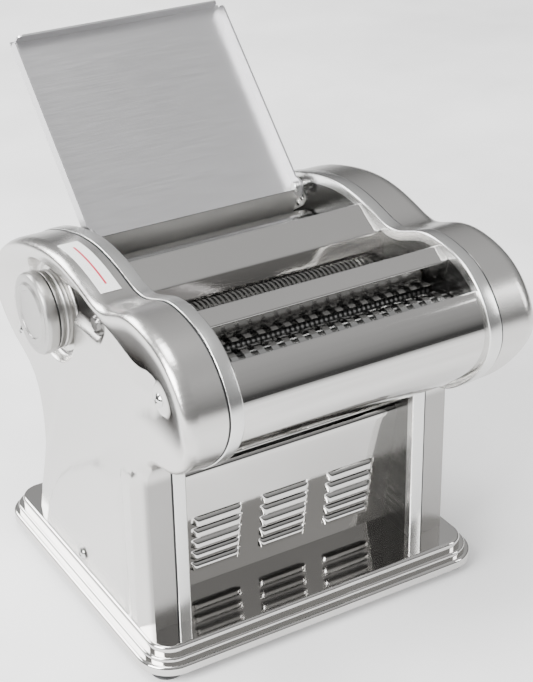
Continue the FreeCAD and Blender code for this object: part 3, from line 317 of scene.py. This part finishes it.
def edge_distance(points):
    """Distance to the outline and its gradient, for many (y, z) points."""
    a, b = outline[:-1], outline[1:]
    ab = b - a
    length2 = (ab ** 2).sum(1)
    dist, grad = np.zeros(len(points)), np.zeros((len(points), 2))
    for start in range(0, len(points), 2000):
        p = points[start:start + 2000]
        ap = p[:, None, :] - a[None]
        t = np.clip((ap * ab).sum(2) / length2, 0, 1)
        off = ap - t[..., None] * ab
        d2 = (off ** 2).sum(2)
        k = d2.argmin(1)
        i = np.arange(len(p))
        d = np.sqrt(d2[i, k])
        dist[start:start + 2000] = d
        grad[start:start + 2000] = off[i, k] / np.maximum(d, 1e-9)[:, None]
    return dist, grad


# ---------------------------------------------------------------- side covers
# distances from the machine's middle along X: the skirt's foot, the plain face, the front
# ridge's crest and the floor of the recess round the knob
SKIRT, FACE, RIDGE, POCKET_FLOOR = 84.0, 100.0, 107.7, 94.2
BULGE = 4.5                  # extra height of the body above the line of the legs
INSET = 0.8                  # gap between the cover's skirt and the band's outline
PAD_RINGS = (6.5, 7.5, 8.5, 9.5, 10.5, 11.5)
BOSS_Y, BOSS_Z, BOSS_RADIUS, BOSS_HEIGHT, BOSS_ROUND = -25.0, 158.0, 31.0, 9.0, 4.0
KNOB_Y, KNOB_Z = 29.5, 156.0
LEFT_PAD, RIGHT_PAD, REAR_PAD = (-110, 164.5), (-112, 140.6), (66, 127.6)
ARCH = np.array([(-71.0, -20), (-71.0, 107.5), (-66, 107), (-50, 99), (-18.6, 83), (16.1, 60),
                 (32.5, 46), (41.6, 35), (52, 18), (66, -20)])


def inside_depth(y, z, polygon):
    """How far inside a convex polygon the points are, in millimetres; negative outside."""
    depth = np.full(np.shape(y), 1e9)
    for (y0, z0), (y1, z1) in zip(polygon, polygon[1:]):
        length = math.hypot(y1 - y0, z1 - z0)
        depth = np.minimum(depth, ((z1 - z0) * (y - y0) - (y1 - y0) * (z - z0)) / length)
    return depth


def ridge_share(y, z):
    """1 where the ridge along the top edge has its full height, 0 where there is none."""
    return np.where(y < 0, smooth_step(128, 166, z), smooth_step(100, 166, z))


def leg_share(y, z):
    """1 low down at the front, over the front leg, and 0 elsewhere."""
    return smooth_step(108, 98, z) * smooth_step(-50, -62, y)


def cover_height(y, z, d, right):
    """How far the cover's face stands out from the middle, at (y, z), d inside the outline."""
    front = smooth_step(-20, -60, y)
    ridge, leg, width = ridge_share(y, z), leg_share(y, z), slope_width(y)
    s = np.clip((d - 5.3) / (width - 5.3), 0, 1)
    plateau = FACE + (RIDGE - FACE) * ridge * (1 - s ** 1.25)
    plateau = plateau - 2.2 * ridge * front * smooth_step(width - 2, width - 0.2, d) * smooth_step(
        width + 16, width - 0.2, d)
    fade = smooth_step(-22, -52, y)
    bulge = smooth_step(-1.0 - 9.0 * fade, 5.0 + 12.0 * fade, inside_depth(y, z, ARCH))
    bulge = np.maximum(bulge, leg * smooth_step(112, 92, z))
    plateau = plateau + BULGE * bulge
    rear = (z - 29.9) * 0.53 + (y - 64.1)
    plateau = plateau - 1.6 * smooth_step(-3, 9, rear) * smooth_step(128, 90, z) * (1 - ridge)
    plateau = plateau - 0.9 * np.exp(-((y + 100) ** 2 + (z - 125) ** 2) / 600.0)
    if right:
        r = np.hypot(y - BOSS_Y, z - BOSS_Z)
        over = np.clip(r - (BOSS_RADIUS - BOSS_ROUND), 0, BOSS_ROUND)
        rounding = BOSS_ROUND - np.sqrt(BOSS_ROUND ** 2 - over ** 2)
        wall = 60 * np.maximum(r - BOSS_RADIUS, 0)
        plateau = np.maximum(plateau, FACE + BOSS_HEIGHT - rounding - wall)
    else:
        r = np.hypot(y - KNOB_Y, z - KNOB_Z)
        pocket = smooth_step(31.5, 28.6, r) * smooth_step(2.0, 14.0, d)
        floor = POCKET_FLOOR + 1.2 * smooth_step(26.5, 25.5, r)
        trough = smooth_step(10.5, 4.5, np.hypot(y - np.clip(y, -30, 4), (z - 172.0) * 0.9))
        lug = smooth_step(6.5, 3.5, np.hypot(y + 27, z - 170.5))
        plateau = plateau * (1 - trough) + (95.0 + 4.5 * lug) * trough
        plateau = plateau * (1 - pocket) + floor * pocket
    for py, pz in (RIGHT_PAD if right else LEFT_PAD, REAR_PAD):
        r = np.hypot(y - py, z - pz)
        rise = smooth_step(11.0, 7.0, r)
        plateau = plateau * (1 - rise) + np.maximum(plateau, FACE + 3.5) * rise
    r = np.hypot(y, z - 8.0)
    plateau = plateau - 0.5 * smooth_step(6.5, 5.2, r) * smooth_step(3.2, 4.2, r)
    start, reach = cover_start(y, z)
    t = np.clip((d - INSET) / reach, 0, 1)
    curve = np.sqrt(np.maximum(1 - (1 - t) ** 2, 0))
    curve = curve * (1 - leg) + t * leg
    return start + (plateau - start) * curve


def slope_width(y):
    return 19.0 + 15.0 * smooth_step(-48, -88, y)


def cover_shade(y, z, d, right):
    """Painted shade: 1 on the plain satin, falling towards 0 on the slopes inside the front ridge,
    in the recess by the knob and on the front of the front leg.
    """
    width = slope_width(y)
    share = np.clip((d - 6.0) / (width - 6.0), 0, 1)
    # painted shade and painted dark reflection on the slopes inside the ridge, darkest towards
    # their lower edge
    slope_shade = smooth_step(6.0, 12.0, d) * smooth_step(width + 0.7, width - 0.7, d)
    slope_shade = slope_shade * (0.66 + 0.30 * share) * smooth_step(-34, -50, y) * smooth_step(134, 160, z)
    pad_y, pad_z = RIGHT_PAD if right else LEFT_PAD
    slope_shade = slope_shade * smooth_step(8.5, 10.5, np.hypot(y - pad_y, z - pad_z))
    # painted shade on the front faces of the front leg
    leg_front_shade = 0.55 * smooth_step(-76.5, -79.0, y) * smooth_step(100, 94, z)
    slope_shade = np.maximum(slope_shade, leg_front_shade)
    if right:
        return 1 - slope_shade
    from_knob = np.hypot(y - KNOB_Y, z - KNOB_Z)
    # painted shade in the recess between the knob and the ridge
    hollow_shade = smooth_step(10.5, 6.5, np.hypot(y - np.clip(y, -30, 4), (z - 172.0) * 0.9))
    hollow_shade = hollow_shade * smooth_step(25.0, 27.0, from_knob)
    return 1 - np.maximum(slope_shade, 0.80 * hollow_shade)


def cover_start(y, z):
    """Where the skirt ends, and how far in the rounded edge above it reaches."""
    ridge, leg = ridge_share(y, z), leg_share(y, z)
    return 94.0 + 5.5 * ridge + 4.0 * leg, 6.5 - 2.0 * ridge + 2.0 * leg


def side_cover(name, right, stands_for):
    """One pressed cover: skirt and rounded edge in rows, and a triangulated face inside them."""
    sign = 1.0 if right else -1.0
    verts, normals, rows = [], [], []

    def put(points, xs, ns):
        first = len(verts)
        for (y, z), x, n in zip(points, xs, ns):
            ry, rz = row(y, z)
            verts.append((sign * x * MM, ry, rz))
            normals.append((sign * n[0], n[1], n[2]))
        return list(range(first, len(verts)))

    skirt = offset_loop(INSET)
    start, reach = cover_start(skirt[:, 0], skirt[:, 1])
    side_n = np.column_stack([np.zeros(len(skirt)), outline_n])
    rows.append(put(offset_loop(2.2), np.full(len(skirt), SKIRT), side_n))
    for share in (0.0, 0.35, 0.7, 1.0):
        rows.append(put(skirt, SKIRT + (start - SKIRT) * share, side_n))
    turns = [math.radians(a) for a in (8, 16, 25, 34, 44, 54, 64, 74, 82)]
    shares = [1 - math.cos(a) for a in turns] + [1.0, 1.18, 1.4]
    for share in shares:
        loop = offset_loop(INSET + reach * share)
        rows.append(put(loop, *field(loop, right)))
    last_loop = offset_loop(INSET + reach * shares[-1])
    faces = strip(rows)

    inner = [tuple(p) for p in last_loop]
    grid_y, grid_z = np.meshgrid(np.arange(-146, 104, 1.9), np.arange(0.0, 204, 1.9))
    grid = np.column_stack([grid_y.ravel(), grid_z.ravel()])
    dist, _ = edge_distance(grid)
    reach_here = cover_start(grid[:, 0], grid[:, 1])[1]
    grid = grid[(dist > INSET + reach_here * shares[-1] + 0.9) & inside_outline(grid)]
    rings = []
    spots = [(RIGHT_PAD if right else LEFT_PAD, PAD_RINGS), (REAR_PAD, PAD_RINGS),
             ((0, 8), (3, 4, 5, 6))]
    spots.append(((BOSS_Y, BOSS_Z), (26, 27, 28, 29, 30, 30.6, 31, 31.3)) if right
                 else ((KNOB_Y, KNOB_Z), (25.2, 26, 26.8, 28.2, 29, 29.7, 30.4, 31.1, 31.9)))
    keep = np.ones(len(grid), bool)
    for (cy, cz), radii in spots:
        r = np.hypot(grid[:, 0] - cy, grid[:, 1] - cz)
        keep &= (r < radii[0] - 0.6) | (r > radii[-1] + 0.6)
        for radius in radii:
            count = max(24, int(2 * math.pi * radius / 1.5))
            a = np.arange(count) * 2 * math.pi / count
            rings.append(np.column_stack([cy + radius * np.cos(a), cz + radius * np.sin(a)]))
    ridged = (outline[:, 0] < -40) & (outline[:, 1] > 140)
    crease, crease_n = outline[ridged], outline_n[ridged]
    for off in (-1.4, -0.7, 0.0, 0.7, 1.4):
        line = crease - crease_n * (slope_width(crease[:, 0] - crease_n[:, 0] * 25) + off)[:, None]
        rings.append(line)
    near = edge_distance(grid)[0] - slope_width(grid[:, 0])
    keep &= ~((np.abs(near) < 2.0) & (grid[:, 0] < -40) & (grid[:, 1] > 140))
    extra = np.vstack([grid[keep]] + rings)
    extra = extra[extra[:, 1] >= 0]
    dist, _ = edge_distance(extra)
    ok = (dist > INSET + cover_start(extra[:, 0], extra[:, 1])[1] * shares[-1] + 0.5)
    extra = extra[ok & inside_outline(extra)]
    count = len(inner)
    bottom = np.arange(inner[0][0] + 2.0, inner[-1][0] - 1.0, 2.0)
    border = inner + [(y, 0.0) for y in bottom[::-1]]
    points = [Vector(p) for p in border] + [Vector(p) for p in extra[extra[:, 1] > 0.5]]
    edges = [(k, (k + 1) % len(border)) for k in range(len(border))]
    out_co, _, out_faces, origin, _, _ = delaunay_2d_cdt(points, edges, [], 1, 1e-7)
    inner_ids = rows[-1]
    co = np.array([tuple(c) for c in out_co])
    xs, ns = field(co, right)
    number = {}
    for k, sources in enumerate(origin):
        border_ids = [s for s in sources if s < count]
        if border_ids:
            number[k] = inner_ids[border_ids[0]]
        else:
            number[k] = put(co[k:k + 1], xs[k:k + 1], ns[k:k + 1])[0]
    faces += [tuple(number[v] for v in f)[::-1] for f in out_faces]
    if right:
        faces = [f[::-1] for f in faces]
    piece = build(name, verts, faces, "root", "brushed_cover", stands_for, normals)
    # the shade attribute carries the painted shade that the cover's material turns into darker
    # colour
    at = np.array(verts)[:, 1:] / MM - np.array([ORIGIN_Y, ORIGIN_Z])
    distance, _ = edge_distance(at)
    shade = cover_shade(at[:, 0], at[:, 1], distance, right)
    layer = piece.data.color_attributes.new("shade", "FLOAT_COLOR", "POINT")
    rgba = np.column_stack([shade, shade, shade, np.ones(len(shade))])
    layer.data.foreach_set("color", rgba.ravel())
    return piece


def inside_outline(points):
    """Which (y, z) points are inside the outline closed along the tray."""
    y, z = points[:, 0], points[:, 1]
    inside = np.zeros(len(points), bool)
    ring = np.vstack([outline, outline[:1]])
    for (y0, z0), (y1, z1) in zip(ring, ring[1:]):
        if z0 == z1:
            continue
        crosses = (z0 > z) != (z1 > z)
        inside ^= crosses & (y < (y1 - y0) * (z - z0) / (z1 - z0) + y0)
    return inside


def field(points, right):
    """Heights and outward normals of the cover over (y, z) points."""
    d, grad = edge_distance(points)
    y, z = points[:, 0], points[:, 1]
    h, e = cover_height(y, z, d, right), 0.05
    hy = (cover_height(y + e, z, d, right) - cover_height(y - e, z, d, right)) / (2 * e)
    hz = (cover_height(y, z + e, d, right) - cover_height(y, z - e, d, right)) / (2 * e)
    low, high = np.maximum(d - e, INSET), d + e
    hd = (cover_height(y, z, high, right) - cover_height(y, z, low, right)) / (high - low)
    n = np.column_stack([np.ones(len(d)), -(hy + hd * grad[:, 0]), -(hz + hd * grad[:, 1])])
    return h, n / np.linalg.norm(n, axis=1)[:, None]


side_cover("cover_left", False, ["left_cover"])
side_cover("cover_right", True, ["right_cover"])


# ---------------------------------------------------------------- rim bands
def rim_band(name, right, stands_for):
    sign = 1.0 if right else -1.0
    arc = [(1.2 - 1.2 * math.sin(a), 76.2 - 1.2 * math.cos(a))
           for a in np.radians(range(0, 91, 15))]
    top = [(0.6 - 0.6 * math.cos(a), 82.4 + 0.6 * math.sin(a))
           for a in np.radians(range(0, 91, 22))]
    profile = [(6.0, 82.9), (6.0, 75.3), (5.7, 75.0)] + arc + top
    verts, rows = [], []
    for d, x in profile:
        first = len(verts)
        for y, z in offset_loop(d):
            ry, rz = row(y, z)
            verts.append((sign * x * MM, ry, rz))
        rows.append(list(range(first, len(verts))))
    faces = strip(rows)
    if not right:
        faces = [f[::-1] for f in faces]
    return build(name, verts, faces, "root", "satin_band", stands_for, None, 40)


rim_band("band_left", False, ["left_rim_band"])
rim_band("band_right", True, ["right_rim_band"])


# ---------------------------------------------------------------- label, plain with a red line
def label():
    box = [nodes["label_plate"].matrix_world @ Vector(c) for c in nodes["label_plate"].bound_box]
    y_low, y_high = (f(p.y for p in box) / MM - ORIGIN_Y for f in (min, max))
    x_low, x_high = (f(p.x for p in box) / MM for f in (min, max))
    mid = (x_low + x_high) / 2
    inside = (outline[:, 0] > y_low + 0.3) & (outline[:, 0] < y_high - 0.3) & (outline[:, 1] > 150)
    path, normal = outline[inside], outline_n[inside]
    verts, rows = [], []
    for x, d in ((x_high, 0.78), (x_high - 0.1, 0.52), (mid + 0.6, 0.5), (mid - 0.6, 0.5),
                 (x_low + 0.1, 0.52), (x_low, 0.78)):
        rows.append(list(range(len(verts), len(verts) + len(path))))
        verts += [(x * MM, *row(y, z)) for y, z in offset_loop(d, path, normal)]
    piece = build("label_sheet", verts, strip(rows), "root", "label_white", ["label_plate"],
                  None, 40, ["label_red"])
    per_row = len(path) - 1
    for k in range(int(per_row * 0.14), int(per_row * 0.86)):
        piece.data.polygons[2 * per_row + k].material_index = 1
    return piece


label()


# ---------------------------------------------------------------- folded sheets along X
def rounded_path(points, radii, step=8.0):
    """Polyline with each corner k turned into an arc of radii[k]."""
    out = []
    for k, p in enumerate(points):
        p = np.array(p, float)
        if k in (0, len(points) - 1) or radii[k] <= 0:
            out.append(p)
            continue
        a = np.array(points[k - 1], float) - p
        b = np.array(points[k + 1], float) - p
        a /= np.linalg.norm(a)
        b /= np.linalg.norm(b)
        half = math.acos(np.clip(a @ b, -1, 1)) / 2
        back = radii[k] / math.tan(half)
        mid = (a + b) / np.linalg.norm(a + b)
        centre = p + mid * radii[k] / math.sin(half)
        v0, v1 = p + a * back - centre, p + b * back - centre
        turn = math.pi - 2 * half
        count = max(3, int(math.degrees(turn) / step))
        for i in range(count + 1):
            s = i / count
            v = (math.sin((1 - s) * turn) * v0 + math.sin(s * turn) * v1) / math.sin(turn)
            out.append(centre + v)
    return np.array(out)


def sheet_x(name, path, thick, x0, x1, slot, stands_for):
    """A sheet swept along X; path is its seen face and the metal lies behind it."""
    path = np.asarray(path, float)
    t = np.gradient(path, axis=0)
    t /= np.linalg.norm(t, axis=1)[:, None]
    n = np.column_stack([-t[:, 1], t[:, 0]])
    edge = min(0.35, thick * 0.35)
    back = path - n * thick
    out_0, out_1 = path[0] - path[1], path[-1] - path[-2]
    first = path[0] - n[0] * thick / 2 + out_0 / np.linalg.norm(out_0) * edge
    last = path[-1] - n[-1] * thick / 2 + out_1 / np.linalg.norm(out_1) * edge
    ring = np.vstack([first[None], path, last[None], back[::-1]])
    verts, rows = [], []
    for x in (x0, x1):
        start = len(verts)
        for y, z in ring:
            ry, rz = row(y, z)
            verts.append((x * MM, ry, rz))
        rows.append(list(range(start, len(verts))))
    faces = strip(rows, closed=True)
    n_ring = len(ring)
    for r, rev in ((rows[0], True), (rows[1], False)):
        cap = [(r[k], r[k + 1], r[n_ring - k - 1], r[(n_ring - k) % n_ring])
               for k in range(1, len(path))]
        faces += [c[::-1] if rev else c for c in cap]
    return build(name, verts, faces, "root", slot, stands_for, None, 30)


H = 203.6                    # tray top to the highest point of the side outline
SIDE = 75.0                  # inner face of a side plate from the middle
SHEET = 1.0
GUARD_INSET = 3.0
lobe = (outline[:, 0] < -80) & (outline[:, 1] > 95)
guard = outline[lobe] - outline_n[lobe] * GUARD_INSET
guard = guard[(guard[:, 0] < -98.4) & (guard[:, 1] < H - 16.2)]
lip = guard[-1] + np.array([[0.9, 0.1], [1.7, -0.5], [2.1, -1.5]])
sheet_x("front_guard", np.vstack([guard, lip]), SHEET, -SIDE, SIDE, "mirror_steel",
        ["roller_cover_front"])
rear_fold = rounded_path([(-48, H - 32), (-43.2, H - 13.9), (-22, H - 4.3), (-19.5, H - 9.5)],
                         [0, 2.5, 1.5, 0])
middle_fold = rounded_path([(-105.5, H - 21), (-107.5, H - 7.7), (-95.6, H - 2.7), (-94, H - 21)],
                           [0, 1.5, 1.5, 0])
sheet_x("rear_cover", rear_fold, SHEET, -SIDE, SIDE, "mirror_steel", ["roller_cover_rear"])
sheet_x("middle_cover", middle_fold, SHEET, -SIDE, SIDE, "mirror_steel", ["roller_cover_middle"])


# ---------------------------------------------------------------- front panel with louvres
LOUVRE_FIRST, LOUVRE_PITCH, LOUVRE_ROWS = 12.0, 8.5, 5
LOUVRE_COLUMNS = (-45.0, 0.0, 45.0)
LOUVRE_HALF, LOUVRE_END, LOUVRE_DEPTH, LOUVRE_TALL = 16.0, 3.4, 3.0, 5.6
LOUVRE_LIP = 0.06            # the hood starts this share of its height above the lower edge


def louvre_lift(v, x_steps):
    """How far the panel stands out at height v along it, for each x."""
    lift = np.zeros(len(x_steps))
    nearest = round((v - LOUVRE_FIRST) / LOUVRE_PITCH)
    for number in (nearest - 1, nearest, nearest + 1):
        share = (v - LOUVRE_FIRST - number * LOUVRE_PITCH) / LOUVRE_TALL
        if not 0 <= number < LOUVRE_ROWS or not LOUVRE_LIP <= share < 1:
            continue
        fall = math.sqrt(1 - ((share - LOUVRE_LIP) / (1 - LOUVRE_LIP)) ** 2) ** 1.25
        for column in LOUVRE_COLUMNS:
            u = np.abs(x_steps - column)
            end = np.clip((u - LOUVRE_HALF + LOUVRE_END) / LOUVRE_END, 0, 1)
            plan = np.where(u < LOUVRE_HALF, np.sqrt(1 - end ** 2), 0.0)
            lift = np.maximum(lift, LOUVRE_DEPTH * plan * fall)
    return lift


def front_panel():
    """The folded panel as one sheet, with the louvres pressed out of it."""
    foot, top, end = np.array([-52.0, 0.0]), np.array([-64.0, 84.0]), np.array([35.0, 124.0])
    along = (top - foot) / np.linalg.norm(top - foot)
    face_n = np.array([-along[1], along[0]])
    bend = rounded_path([foot, top, end], [0, 6.0, 0], 6.0)
    heights = np.concatenate([np.arange(0, 11, 2.75), np.arange(11, 52.6, 0.42),
                              np.arange(53, 77.5, 3.5)])
    x_steps = np.concatenate([[-SIDE, -70], np.arange(-64, 64.1, 0.8), [70.0, SIDE]])
    flat = np.zeros(len(x_steps))
    verts, rows = [], []
    line = [(foot + along * v, louvre_lift(v, x_steps)) for v in heights]
    for middle, lift in line + [(p, flat) for p in bend[1:]]:
        rows.append(list(range(len(verts), len(verts) + len(x_steps))))
        for x, out in zip(x_steps, lift):
            verts.append((x * MM, *row(*(middle + face_n * out))))
    faces = [f[::-1] for f in strip(rows)]
    piece = build("panel_front", verts, faces, "root", "mirror_steel", ["front_panel"], None, 50)
    # the faces of the louvre openings get the near-black material: painted shade of the dark inside
    # seen through them
    piece.data.materials.append(finish["slot_dark"])
    for poly in piece.data.polygons:
        local = [np.array([verts[v][1] / MM - ORIGIN_Y, verts[v][2] / MM - ORIGIN_Z]) - foot
                 for v in poly.vertices]
        out = [p @ face_n for p in local]
        height = sum(p @ along for p in local) / len(local)
        step = (height - LOUVRE_FIRST + 0.4) % LOUVRE_PITCH
        if height < 47 and max(out) - min(out) > 1.3 and step < 1.2 and min(out) < 0.4:
            poly.material_index = 1


front_panel()


# ---------------------------------------------------------------- knob
def lathe_x(name, profile, centre, body, slot, stands_for, steps=96, sharp=32.0):
    """Turned part about X: profile is (x, radius) in millimetres from one end to the other."""
    verts, rows = [], []
    cy, cz = centre
    for x, r in profile:
        first = len(verts)
        for k in range(steps):
            a = 2 * math.pi * k / steps
            ry, rz = row(cy + r * math.cos(a), cz + r * math.sin(a))
            verts.append((x * MM, ry, rz))
        rows.append(list(range(first, len(verts))))
    faces = strip(rows, closed=True)
    faces.append(tuple(rows[0]))
    faces.append(tuple(rows[-1][::-1]))
    return build(name, verts, faces, body, slot, stands_for, None, sharp)


def rounded_profile(points, radii):
    return [tuple(p) for p in rounded_path(points, radii, 15.0)]


KNOB_FACE = -113.1
# (depth behind the knob's face, radius) and the rounding at each of these points
turning = [
    (0.9, 0.4), (0.9, 13.6), (0.1, 14.4), (0.0, 17.4), (1.3, 19.0), (1.0, 21.0), (1.4, 23.2),
    (3.2, 24.0), (8.0, 24.0), (8.3, 22.4), (9.3, 22.4), (9.6, 23.0), (12.0, 22.9),
    (13.0, 22.2), (14.0, 22.9), (16.2, 22.6), (18.3, 21.2), (18.3, 5.2)]
turning_radii = [0, 0.5, 0.6, 0.9, 1.0, 0.8, 0.8, 1.6, 0.25,
                 0.1, 0.1, 0.3, 0.5, 0.6, 0.5, 1.0, 0.3, 0]
SEAM = (8.1, 9.5)            # the dark groove round the knob, as depths behind its face
profile = rounded_profile([(KNOB_FACE + depth, radius) for depth, radius in turning], turning_radii)
knob = lathe_x("knob_turned", profile, (KNOB_Y, KNOB_Z), "knob", "knob_metal", ["knob"])
knob.data.materials.append(finish["slot_dark"])
for poly in knob.data.polygons:
    if KNOB_FACE + SEAM[0] < poly.center.x / MM < KNOB_FACE + SEAM[1]:
        poly.material_index = 1


# ---------------------------------------------------------------- floor, light, camera
def stage_plane(name, size, centre, colour):
    mesh = bpy.data.meshes.new(name)
    h = size / 2
    mesh.from_pydata([(-h, -h, 0), (h, -h, 0), (h, h, 0), (-h, h, 0)], [], [(0, 1, 2, 3)])
    obj = bpy.data.objects.new(name, mesh)
    obj.location = centre
    bpy.context.scene.collection.objects.link(obj)
    mat = plastic(name, colour, 0.85, 3.0, 0.0, 0.05)
    shader = mat.node_tree.nodes["Principled BSDF"]
    shader.inputs["Emission Color"].default_value = (1, 1, 1, 1)
    shader.inputs["Emission Strength"].default_value = 0.3
    mesh.materials.append(mat)
    return obj


stage_plane("floor", 30.0, (0, 0, -0.0002), (0.80, 0.80, 0.80))

world = bpy.data.worlds.new("studio")
bpy.context.scene.world = world
world.use_nodes = True
wt = world.node_tree
coord = wt.nodes.new("ShaderNodeTexCoord")
split = wt.nodes.new("ShaderNodeSeparateXYZ")
wt.links.new(coord.outputs["Generated"], split.inputs["Vector"])
rng = wt.nodes.new("ShaderNodeMapRange")
rng.inputs["From Min"].default_value = -1
rng.inputs["From Max"].default_value = 1
wt.links.new(split.outputs["Z"], rng.inputs["Value"])
# greys from straight down (0) through the dark horizon to straight up (1)
sky = [(0.0, 0.5), (0.49, 0.5), (0.505, 0.07), (0.56, 0.09), (0.64, 0.30), (0.74, 0.48),
       (0.86, 0.62), (1.0, 0.7)]
background = wt.nodes["Background"]
wt.links.new(colour_ramp(wt, rng.outputs["Result"], [(at, (grey,) * 3) for at, grey in sky]),
             background.inputs["Color"])
background.inputs["Strength"].default_value = 1.0


def softbox(name, place, aim, width, height, watts):
    data = bpy.data.lights.new(name, "AREA")
    data.shape = "RECTANGLE"
    data.size, data.size_y = width, height
    data.energy = watts
    obj = bpy.data.objects.new(name, data)
    obj.location = place
    obj.rotation_mode = "QUATERNION"
    obj.rotation_quaternion = (Vector(aim) - Vector(place)).to_track_quat("-Z", "Y")
    bpy.context.scene.collection.objects.link(obj)


softbox("key_left", (-2.2, -0.5, 1.7), (0, 0, 0.1), 1.7, 1.7, 190)
softbox("fill_back", (-1.2, 2.2, 1.6), (0, 0, 0.1), 1.6, 1.2, 90)
softbox("strip_right", (1.9, -1.5, 1.35), (0, 0, 0.15), 0.5, 1.2, 16)
softbox("top_box", (-0.3, 0.1, 2.4), (0, 0, 0.15), 1.0, 1.0, 40)

CAMERA_AT = (-0.4164, -0.7407, 0.5868)
LENS, SENSOR = 86.463343, 36.0    # millimetres; the sensor spans the picture's longer side
yaw, pitch, roll = math.radians(30.48), math.radians(27.53), math.radians(-1.01)
ahead = Vector((math.sin(yaw) * math.cos(pitch), math.cos(yaw) * math.cos(pitch), -math.sin(pitch)))
across = Vector((math.cos(yaw), -math.sin(yaw), 0))
upward = across.cross(ahead)
right = math.cos(roll) * across + math.sin(roll) * upward
up = -math.sin(roll) * across + math.cos(roll) * upward
camera_data = bpy.data.cameras.new("camera")
camera_data.sensor_fit = "AUTO"
camera_data.sensor_width = SENSOR
camera_data.lens = LENS
camera_data.clip_start, camera_data.clip_end = 0.05, 60.0
camera = bpy.data.objects.new("camera", camera_data)
turned = Matrix((right, up, -ahead)).transposed().to_4x4()
camera.matrix_world = Matrix.Translation(CAMERA_AT) @ turned
bpy.context.scene.collection.objects.link(camera)
bpy.context.scene.camera = camera
